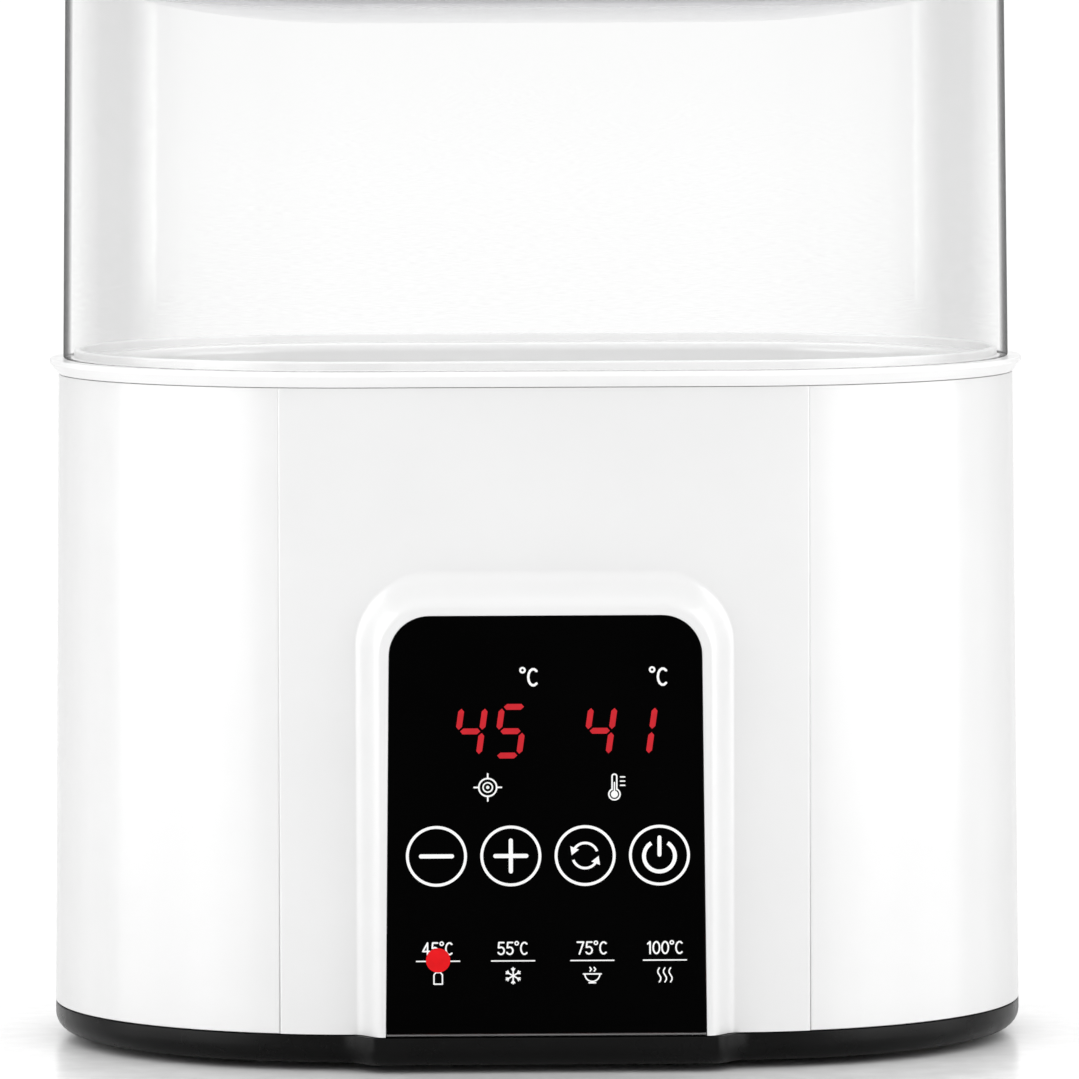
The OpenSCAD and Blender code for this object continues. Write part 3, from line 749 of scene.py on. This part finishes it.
def key_marks(m):
    """Four rings with minus, plus, a cycle arrow and the on and off sign."""
    for x in KEY_XS:
        m.ring((x, KEY_Z), KEY_R)
    reach, bold = 3.3 * MM, 0.9 * MM
    m.line((KEY_XS[0] - reach, KEY_Z), (KEY_XS[0] + reach, KEY_Z), bold)
    m.line((KEY_XS[1] - reach, KEY_Z), (KEY_XS[1] + reach, KEY_Z), bold)
    m.line((KEY_XS[1], KEY_Z - reach), (KEY_XS[1], KEY_Z + reach), bold)
    x = KEY_XS[2]
    r = 2.7 * MM
    for first in (20, 200):
        m.arc((x, KEY_Z), r, first, first + 130, 0.55 * MM, 20)
        tip = math.radians(first + 138)
        ahead = tip + math.pi / 2
        at = Vector((x + r * math.cos(tip), KEY_Z + r * math.sin(tip)))
        way = Vector((math.cos(ahead), math.sin(ahead)))
        side = Vector((-way.y, way.x))
        m.fill([tuple(at + way * 1.0 * MM), tuple(at - way * 0.7 * MM + side * 1.0 * MM),
                tuple(at - way * 0.7 * MM - side * 1.0 * MM)])
    x = KEY_XS[3]
    m.arc((x, KEY_Z - 0.2 * MM), 3.3 * MM, 122, 418, 0.85 * MM, 48)
    m.line((x, KEY_Z + 0.1 * MM), (x, KEY_Z + 3.8 * MM), 0.85 * MM)


def mode_marks(m):
    """Four set temperatures, each underlined, over a small picture of what it does."""
    for x, text in zip(MODE_XS, ("45oC", "55oC", "75oC", "100oC")):
        write(m, text, x, MODE_Z + 1.1 * MM, 2.75 * MM, 0.36 * MM)
        m.line((x - 4.6 * MM, MODE_Z - 0.2 * MM), (x + 4.6 * MM, MODE_Z - 0.2 * MM), 0.28 * MM)
    z = MODE_Z - 3.4 * MM
    w = 0.3 * MM
    u = MM
    x = MODE_XS[0]                     # a feeding bottle
    m.path([(x - 0.9 * u, z - 1.7 * u), (x + 0.9 * u, z - 1.7 * u), (x + 0.9 * u, z + 0.3 * u),
            (x + 0.45 * u, z + 0.8 * u), (x - 0.45 * u, z + 0.8 * u), (x - 0.9 * u, z + 0.3 * u),
            (x - 0.9 * u, z - 1.7 * u)], w)
    m.line((x - 0.7 * u, z + 1.05 * u), (x + 0.7 * u, z + 1.05 * u), w)
    m.path([(x - 0.35 * u, z + 1.1 * u), (x, z + 1.8 * u), (x + 0.35 * u, z + 1.1 * u)], w)
    x = MODE_XS[1]                     # a snow crystal
    for k in range(3):
        a = math.radians(30 + 60 * k)
        dx, dz = 1.7 * u * math.cos(a), 1.7 * u * math.sin(a)
        m.line((x - dx, z - dz), (x + dx, z + dz), w)
        for s in (-1, 1):
            for bend in (-0.6, 0.6):
                base = (x + s * dx * 0.6, z + s * dz * 0.6)
                b = a + bend + (0 if s > 0 else math.pi)
                m.line(base, (base[0] + 0.6 * u * math.cos(b), base[1] + 0.6 * u * math.sin(b)), w * 0.9)
    x = MODE_XS[2]                     # a bowl
    m.line((x - 1.9 * u, z + 0.3 * u), (x + 1.9 * u, z + 0.3 * u), w)
    m.arc((x, z + 0.3 * u), 1.6 * u, 180, 360, w, 20)
    m.line((x - 0.7 * u, z - 1.6 * u), (x + 0.7 * u, z - 1.6 * u), w)
    m.path([(x - 0.5 * u, z + 0.9 * u), (x - 0.2 * u, z + 1.3 * u), (x - 0.5 * u, z + 1.7 * u)], w)
    m.path([(x + 0.4 * u, z + 0.9 * u), (x + 0.7 * u, z + 1.3 * u), (x + 0.4 * u, z + 1.7 * u)], w)
    x = MODE_XS[3]                     # steam
    for k in (-1, 0, 1):
        m.path([(x + (k * 1.2 + 0.35 * math.sin(t * math.pi / 3)) * u, z + (-1.5 + 0.5 * t) * u)
                for t in range(7)], w)


def reading_marks(m):
    """Degree signs over the read-outs, and a small picture under each: a target, and a thermometer."""
    for x in DIGIT_XS:
        write(m, "oC", x + 8.4 * MM, DIGIT_Z + 9.6 * MM, 3.8 * MM, 0.52 * MM)
    z = DIGIT_Z - 12 * MM
    x = DIGIT_XS[0] - 0.6 * MM
    fine, hair = 0.32 * MM, 0.3 * MM
    m.ring((x, z), 1.9 * MM, 0.36 * MM)
    m.ring((x, z), 1.0 * MM, hair)
    m.disc((x, z), 0.35 * MM)
    near, far = 2.0 * MM, 2.9 * MM
    for dx, dz in ((1, 0), (-1, 0), (0, 1), (0, -1)):
        m.line((x + dx * near, z + dz * near), (x + dx * far, z + dz * far), 0.36 * MM)
    x = DIGIT_XS[1] - 1.2 * MM
    m.disc((x, z - 1.6 * MM), 0.75 * MM)
    m.arc((x, z - 1.6 * MM), 1.2 * MM, 115, 425, fine, 30)
    for side in (-0.5 * MM, 0.5 * MM):
        m.line((x + side, z - 0.6 * MM), (x + side, z + 2.2 * MM), fine)
    m.arc((x, z + 2.2 * MM), 0.5 * MM, 0, 180, fine, 14)
    m.line((x, z - 1.4 * MM), (x, z + 0.9 * MM), hair)
    for k in range(3):
        tick = z + (0.3 + 0.9 * k) * MM
        m.line((x + 1.3 * MM, tick), (x + 2.2 * MM, tick), hair)


def window_marks():
    m = Marks(INK)
    key_marks(m)
    mode_marks(m)
    reading_marks(m)
    return m.done("window_marks", MARK)


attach(window_marks(), "base")

# Which of the seven bars, from the top clockwise and the middle last, each figure lights
BARS = {"1": "bc", "4": "bcfg", "5": "acdfg"}


def seven_bar(m, figure, x, z):
    """One leaning seven-bar figure, centred on x and z."""
    h, w = DIGIT_H / 2, DIGIT_W / 2
    ends = {"a": ((-w, h), (w, h)), "b": ((w, h), (w, 0)), "c": ((w, 0), (w, -h)), "d": ((w, -h), (-w, -h)),
            "e": ((-w, -h), (-w, 0)), "f": ((-w, 0), (-w, h)), "g": ((-w, 0), (w, 0))}
    for bar in BARS[figure]:
        a, b = (Vector(p) for p in ends[bar])
        way = (b - a).normalized()
        side = Vector((-way.y, way.x)) * BAR_T / 2
        a, b = a + way * BAR_GAP, b - way * BAR_GAP
        tip = way * BAR_T / 2
        pts = [a, a + tip + side, b - tip + side, b, b - tip - side, a + tip - side]
        m.fill([(x + p.x + SLANT * p.y, z + p.y) for p in pts])


def lit_digits():
    m = Marks(INK)
    for x, text in zip(DIGIT_XS, ("45", "41")):
        for i, figure in enumerate(text):
            seven_bar(m, figure, x + (i - 0.5) * DIGIT_PITCH, DIGIT_Z)
    return m.done("lit_digits", DIGITS)


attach(lit_digits(), "base")


def lamp():
    """The lit mode light, a shallow dome of red."""
    bm = bmesh.new()
    reach = 2.6 * MM
    rows = []
    for k in range(9):
        t = k / 8
        y = -(GLASS_Y + 2 * INK + 0.12 * MM * (1 - (1 - t) ** 2))
        rows.append([(x, y, z) for x, z in circle(MODE_XS[0], MODE_Z, reach * (1 - t) + 0.01 * MM)])
    verts = skin_rows(bm, rows, loop_points=True)
    bm.faces.new(verts[-1])
    return finish_mesh("lamp_glow", bm, LAMP)


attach(lamp(), "base")

# Tank, hood, tray and lid

LIP_T = 1 * MM                         # the rim's lip at its edge
HOOD_R = hood_hi.x - HALF
HOOD_T = 2 * MM
HOOD_TOP_R = lid_hi.x - HALF           # the lid's wall stands over the hood's top
BOWL_RIM = bowl_hi.x - HALF
BOWL_R = HOOD_TOP_R - HOOD_T - 0.5 * MM
SKIRT_T = 2 * MM
LID_SEAT = lid_lo.z


def tank_liner():
    """The white liner: a floor round the plate, walls, the rib inside the hood, and the rim."""
    floor, under = 35.5 * MM, 33 * MM
    turn, plate = 46 * MM, 44.2 * MM   # where the floor's oval starts, and the round opening for the plate
    foot_in, top_in, flare = 54 * MM, 55 * MM, 56.3 * MM
    foot_out, top_out = 56.2 * MM, 57.2 * MM
    lip_root = skin_radius(SHELL_Z1) - 0.05 * MM
    rib_out = HOOD_R - HOOD_T - 0.4 * MM
    rib_in, rib_top = rib_out - 1.5 * MM, RIM_Z + 2 * MM
    wall = filleted([
        (turn, floor, 0), (foot_in, floor, 7 * MM), (top_in, RIM_Z - 2 * MM, 0),
        (flare, RIM_Z, 1.2 * MM), (rib_in, RIM_Z, 0.3 * MM), (rib_in, rib_top, 0.5 * MM),
        (rib_out, rib_top, 0.5 * MM), (rib_out, RIM_Z, 0.3 * MM), (FLANGE_R, RIM_Z, 0.45 * MM),
        (FLANGE_R, RIM_Z - LIP_T, 0.45 * MM),
        (lip_root, SHELL_Z1 + 0.03 * MM, 0.2 * MM), (lip_root - 1 * MM, FLANGE_Z, 0),
        (top_out, FLANGE_Z, 0.5 * MM), (foot_out, under, 0), (turn, under, 0)], steps=7)
    stations = oval_stations(72, 24)
    bore = []
    for x, y, nx, ny in stations:
        a = math.atan2(ny * turn, x + nx * turn)
        bore.append((plate * math.cos(a), plate * math.sin(a)))
    rows = [[(x, y, under) for x, y in bore], [(x, y, floor) for x, y in bore]]
    rows += [[(x + nx * r, ny * r, z) for x, y, nx, ny in stations] for r, z in wall]
    bm = bmesh.new()
    skin_rows(bm, rows, loop_rows=True, loop_points=True)
    return finish_mesh("tank_liner", bm, LINER, sharp=40)


def split_inside(obj, mat):
    """Gives the faces that look in towards the middle a second material."""
    obj.data.materials.append(mat)
    for face in obj.data.polygons:
        c = face.center
        out = Vector((c.x - min(max(c.x, -HALF), HALF), c.y, 0))
        if face.normal.dot(out) < 0:
            face.material_index = 1
    return obj


def hood_shell():
    """The clear sleeve, with soft ends and a second finish on its inner face."""
    top = hood_hi.z
    profile = filleted([(HOOD_R - HOOD_T, RIM_Z, 0.3 * MM), (HOOD_R, RIM_Z, 0.4 * MM),
                        (HOOD_TOP_R, top, 0.6 * MM), (HOOD_TOP_R - HOOD_T, top, 0.6 * MM)], steps=4)
    shell = oval_loft("hood_shell", profile, CLEAR, True, oval_stations(96, 24), 60)
    return split_inside(shell, CLEAR_IN)


def dish(r, apex, crown, knuckle, way, steps=14):
    """A dished profile from the axis out to its wall. way is 1 for a bowl and -1 for a lid."""
    kr = r - knuckle
    centre = apex + way * crown
    fall = math.sqrt((crown - knuckle) ** 2 - kr * kr)
    join = math.asin(kr / (crown - knuckle))
    out = [(crown * math.sin(join * i / steps), centre - way * crown * math.cos(join * i / steps))
           for i in range(steps + 1)]
    for i in range(1, steps + 1):
        a = join + (math.pi / 2 - join) * i / steps
        out.append((kr + knuckle * math.sin(a), centre - way * (fall + knuckle * math.cos(a))))
    return out


def tray_bowl():
    """The steaming tray: a dished bowl that hangs from a lip over the hood's top."""
    crown, knuckle = 230 * MM, 22 * MM
    outer = dish(BOWL_R, bowl_lo.z, crown, knuckle, 1)
    inner = dish(BOWL_R - SKIRT_T, bowl_lo.z + SKIRT_T, crown - SKIRT_T, knuckle - SKIRT_T, 1)
    seat = hood_hi.z
    lip = filleted([(BOWL_R, seat - 2 * MM, 0), (BOWL_R, seat, 0.4 * MM), (BOWL_RIM, seat, 0.8 * MM),
                    (BOWL_RIM, LID_SEAT, 0.8 * MM), (BOWL_R - SKIRT_T, LID_SEAT, 0.8 * MM),
                    (BOWL_R - SKIRT_T, seat - 2 * MM, 0)], steps=4)
    return oval_loft("tray_bowl", outer + lip + inner[::-1], MILKY, False, oval_stations(80, 30), 50)


def lid_shell():
    """The clear lid: a shallow dome down to a rounded foot."""
    crown, knuckle = 260 * MM, 8 * MM
    outer = dish(HOOD_TOP_R, lid_hi.z, crown, knuckle, -1)
    inner = dish(HOOD_TOP_R - SKIRT_T, lid_hi.z - SKIRT_T, crown - SKIRT_T, knuckle - SKIRT_T, -1)
    within, above = HOOD_TOP_R - SKIRT_T, LID_SEAT + 1 * MM
    foot = filleted([(HOOD_TOP_R, above, 0), (HOOD_TOP_R, LID_SEAT, 0.5 * MM), (within, LID_SEAT, 0.5 * MM),
                     (within, above, 0)], steps=4)
    return oval_loft("lid_shell", outer + foot + inner[::-1], CLEAR_LID, False, oval_stations(80, 30), 50)


def lathe(name, profile, mat, place, segments=96, sharp=40, closed=False):
    """Spins a profile of (radius, along). place maps (across, up, along) to a point."""
    rows = []
    for r, along in profile:
        rows.append([place(a, b, along) for a, b in circle(0, 0, r, segments)])
    bm = bmesh.new()
    skin_rows(bm, rows, loop_rows=closed, loop_points=True)
    return finish_mesh(name, bm, mat, sharp=sharp)


def lid_grip():
    """The knob: a narrow neck under a broad soft head."""
    z0, top = knob_lo.z, knob_hi.z
    reach = knob_hi.x
    profile = filleted([(0, z0, 0), (8 * MM, z0, 0.4 * MM), (7 * MM, z0 + 4 * MM, 2.5 * MM),
                        (reach - 3 * MM, z0 + 7.5 * MM, 2 * MM), (reach, z0 + 10 * MM, 1.5 * MM),
                        (reach - 1 * MM, top - 2 * MM, 1.5 * MM), (reach - 5 * MM, top, 3 * MM), (0, top, 0)],
                       steps=6)
    return lathe("lid_grip", profile, KNOB, lambda a, b, z: (a, b, z))


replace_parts(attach(tank_liner(), "base"), "water_tank")
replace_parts(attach(hood_shell(), "hood"), "steam_hood")
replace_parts(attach(tray_bowl(), "tray"), "steam_tray")
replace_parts(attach(lid_shell(), "lid"), "top_lid")
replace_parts(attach(lid_grip(), "lid"), "lid_knob")

# Feet, grommet and plug

FOOT_X, FOOT_Y = 70 * MM, 30 * MM


def foot_pads():
    """Four rubber feet with a rounded tread and a shallow dished sole."""
    reach = 7 * MM
    top = tray_lo.z + 1 * MM
    profile = filleted([(0, 0.4 * MM, 0), (reach - 2 * MM, 0.4 * MM, 0.5 * MM),
                        (reach - 1.6 * MM, 0, 0.2 * MM), (reach, 0, 0.7 * MM), (reach, top, 0.3 * MM),
                        (0, top, 0)], steps=4)
    bm = bmesh.new()
    for sx in (-1, 1):
        for sy in (-1, 1):
            rows = [[(x, y, z) for x, y in circle(sx * FOOT_X, sy * FOOT_Y, r, 48)] for r, z in profile]
            skin_rows(bm, rows, loop_points=True)
    return finish_mesh("foot_pads", bm, RUBBER, sharp=40)


CORD_Z = (bush_lo.z + bush_hi.z) / 2
CORD_R = 3 * MM


def cord_grommet():
    """The strain relief: a collar on the casing and a ribbed sleeve down the cord."""
    wall = END
    profile = [(CORD_R + 0.05 * MM, bush_lo.y), (7.6 * MM, bush_lo.y), (7.6 * MM, bush_lo.y + 1.5 * MM),
               (6 * MM, bush_lo.y + 1.5 * MM), (6 * MM, wall + 0.3 * MM), (7.6 * MM, wall + 0.3 * MM),
               (8 * MM, wall + 0.7 * MM), (8 * MM, wall + 1.8 * MM), (7.5 * MM, wall + 2.3 * MM),
               (6 * MM, wall + 2.8 * MM)]
    ribs = 7
    first, last = wall + 4 * MM, bush_hi.y - 1 * MM
    for i in range(ribs):
        y = first + (last - first) * i / ribs
        pitch = (last - first) / ribs
        r = (6 - 1.3 * i / ribs) * MM
        groove = r - 0.8 * MM
        profile += [(r, y), (r, y + pitch * 0.5), (groove, y + pitch * 0.6), (groove, y + pitch * 0.9)]
    profile += [(4.6 * MM, bush_hi.y - 0.4 * MM), (4.2 * MM, bush_hi.y), (CORD_R + 0.05 * MM, bush_hi.y)]
    return lathe("cord_grommet", profile, RUBBER, lambda a, b, y: (a, y, CORD_Z + b), 64, 40, closed=True)


plug_lo, plug_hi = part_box("plug_body")


def plug_shell():
    """The moulded plug: a sleeve off the cord, a shoulder, three grip grooves and a soft nose."""
    start, nose = plug_lo.x, plug_hi.x
    mid_y = (plug_lo.y + plug_hi.y) / 2
    wide, tall = (plug_hi.y - plug_lo.y) / 2, (plug_hi.z - plug_lo.z) / 2
    sleeve = 16 * MM
    back = start + sleeve
    sections = [(start, 2.9 * MM, 2.9 * MM), (start + 8 * MM, 3.7 * MM, 3.7 * MM),
                (back - 1 * MM, 4.7 * MM, 4.7 * MM), (back, 6.5 * MM, 5.2 * MM),
                (back + 0.8 * MM, 9.5 * MM, 6 * MM), (back + 2.5 * MM, wide - 0.4 * MM, tall - 0.2 * MM),
                (back + 4 * MM, wide, tall)]
    for i in range(3):
        at = back + (7 + 4 * i) * MM
        sections += [(at, wide, tall), (at + 0.5 * MM, wide - 0.7 * MM, tall - 0.5 * MM),
                     (at + 1.5 * MM, wide - 0.7 * MM, tall - 0.5 * MM), (at + 2 * MM, wide, tall)]
    sections += [(nose - 1.5 * MM, wide, tall), (nose - 0.5 * MM, wide - 0.5 * MM, tall - 0.5 * MM),
                 (nose, wide - 1.5 * MM, tall - 1.5 * MM)]
    squareness = 0.62                  # power that flattens the sides of an oval section
    rows = []
    for x, w, h in sections:
        z = CORD_R + (tall - CORD_R) * unit((x - start) / sleeve)
        row = []
        for k in range(48):
            a = 2 * math.pi * k / 48
            c, d = math.cos(a), math.sin(a)
            row.append((x, mid_y + w * math.copysign(abs(c) ** squareness, c),
                        z + h * math.copysign(abs(d) ** squareness, d)))
        rows.append(row)
    bm = bmesh.new()
    verts = skin_rows(bm, rows, loop_points=True)
    bm.faces.new(verts[0])
    bm.faces.new(verts[-1])
    return finish_mesh("plug_shell", bm, CORD, sharp=50)


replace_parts(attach(foot_pads(), "base"), "rubber_feet")
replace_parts(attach(cord_grommet(), "base"), "cord_bushing")
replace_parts(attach(plug_shell(), "base"), "plug_body")

# Finishes for the CAD parts that are shown as they are

STEEL = metal("plate_steel", grey(0.50), grey(0.62), 0.28)
FASTENER = metal("fastener_steel", grey(0.42), grey(0.55), 0.32, (900, 900, 900))
ELEMENT = metal("element_metal", (0.20, 0.17, 0.15), (0.30, 0.26, 0.23), 0.5, (300, 300, 300))
BRASS = metal("pin_brass", (0.60, 0.44, 0.18), (0.72, 0.55, 0.24), 0.3, (60, 60, 2200))
BOARD = plastic("board_green", (0.01, 0.09, 0.035), (0.016, 0.13, 0.05), 0.35, grain=1800)
CUTOUT = plastic("cutout_black", grey(0.02), grey(0.03), 0.5)
RELAY = plastic("relay_blue", (0.012, 0.05, 0.24), (0.018, 0.07, 0.30), 0.4)
WINDING = plastic("transformer_yellow", (0.55, 0.40, 0.05), (0.66, 0.48, 0.08), 0.45, grain=700, depth=0.05)
SLEEVE = plastic("capacitor_sleeve", (0.015, 0.015, 0.04), (0.02, 0.02, 0.055), 0.3)
TERMINAL = plastic("terminal_green", (0.02, 0.22, 0.08), (0.03, 0.28, 0.11), 0.45)
RIBBON = plastic("ribbon_grey", grey(0.38), grey(0.46), 0.5)
RED_WIRE = plastic("lead_red", (0.5, 0.02, 0.015), (0.6, 0.03, 0.02), 0.45)
BROWN_WIRE = plastic("lead_brown", (0.09, 0.035, 0.012), (0.12, 0.05, 0.018), 0.45)
RED_SEAL = plastic("seal_red", (0.42, 0.08, 0.04), (0.5, 0.11, 0.05), 0.55)
PAD = plastic("pad_grey", grey(0.05), grey(0.07), 0.6)

FINISHES = {
    "led_display": CUTOUT, "mode_leds": LAMP, "touch_pads": PAD, "control_board": BOARD, "rim_seal": SEAL,
    "heating_plate": STEEL, "plate_seal": RED_SEAL, "plate_clamp": STEEL, "plate_screws": FASTENER,
    "heater_element": ELEMENT, "thermostat": CUTOUT, "thermal_fuse": FASTENER, "temp_sensor": BRASS,
    "power_board": BOARD, "relay": RELAY, "transformer": WINDING, "capacitor": SLEEVE,
    "terminal_block": TERMINAL, "board_screws": FASTENER, "base_screws": FASTENER, "ribbon_cable": RIBBON,
    "heater_leads": RED_WIRE, "mains_leads": BROWN_WIRE, "power_cord": CORD, "plug_pins": BRASS,
    "bottle_rack": RACK, "knob_screw": FASTENER}

for node, mat in FINISHES.items():
    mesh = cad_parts[node].data
    mesh.materials.clear()
    mesh.materials.append(mat)

# Floor, light and camera

def floor_sheet():
    """A wide pale sheet with a faint grain."""
    bm = bmesh.new()
    reach = 30
    corners = ((-reach, -reach), (reach, -reach), (reach, reach), (-reach, reach))
    bm.faces.new([bm.verts.new((x, y, 0)) for x, y in corners])
    sheet = plastic("floor_white", grey(0.90), grey(0.92), 0.2, 0.03, grain=500, depth=0.003)
    return finish_mesh("floor_sheet", bm, sheet, smooth=False)


floor_sheet()


def softbox(name, at, aim, width, height, power):
    """An area light that the camera doesn't see."""
    data = bpy.data.lights.new(name, "AREA")
    data.shape = "RECTANGLE"
    data.size = width
    data.size_y = height
    data.energy = power
    obj = bpy.data.objects.new(name, data)
    bpy.context.scene.collection.objects.link(obj)
    obj.location = at
    obj.rotation_euler = (Vector(aim) - Vector(at)).to_track_quat("-Z", "Y").to_euler()
    obj.visible_camera = False
    return obj


middle = (0, 0, RIM_Z)
for side in (-1, 1):
    softbox(f"box_{side + 1}", (side * 1.35, -0.75, 0.6), middle, width=0.4, height=1.2, power=2.5)
    # A near card that only shows as the broad highlight on the round ends
    card = softbox(f"card_{side + 1}", (side * 0.62, -0.22, 0.38), (side * 0.05, 0, 0.38),
                   width=0.72, height=0.8, power=5)
    card.visible_diffuse = False


def studio_world():
    """A white tent, brighter overhead than at the sides."""
    world = bpy.data.worlds.new("studio_world")
    world.use_nodes = True
    tree = world.node_tree
    coords = add(tree, "TexCoord")
    split = add(tree, "SeparateXYZ")
    link(tree, coords, "Generated", split, "Vector")
    tone = ramp(tree, split, "Z", [(0.0, grey(0.75)), (1.0, grey(1.0))])
    lift = add(tree, "MapRange")
    lift.inputs["To Min"].default_value = 1.15
    lift.inputs["To Max"].default_value = 1.5
    link(tree, split, "Z", lift, "Value")
    link(tree, tone, "Color", tree.nodes["Background"], "Color")
    link(tree, lift, "Result", tree.nodes["Background"], "Strength")
    return world


bpy.context.scene.world = studio_world()
bpy.context.scene.view_settings.view_transform = "Standard"

DISTANCE = 2.0
ELEVATION = math.radians(4.14)
AZIMUTH = math.radians(-1.52)
ROLL = math.radians(-0.16)
VIEW_WIDTH = 238.1 * MM                # what the picture spans at the aim point
AIM = Vector((0.71 * MM, 0, 109.12 * MM))


def studio_camera():
    data = bpy.data.cameras.new("studio_camera")
    data.sensor_width = 36
    data.lens = data.sensor_width * DISTANCE / VIEW_WIDTH
    data.clip_start = 0.05
    data.clip_end = 60
    obj = bpy.data.objects.new("studio_camera", data)
    bpy.context.scene.collection.objects.link(obj)
    back = Vector((math.sin(AZIMUTH) * math.cos(ELEVATION), -math.cos(AZIMUTH) * math.cos(ELEVATION),
                   math.sin(ELEVATION)))
    turn = (-back).to_track_quat("-Z", "Y").to_matrix().to_4x4() @ Matrix.Rotation(ROLL, 4, "Z")
    obj.matrix_world = Matrix.Translation(AIM + back * DISTANCE) @ turn
    return obj


bpy.context.scene.camera = studio_camera()
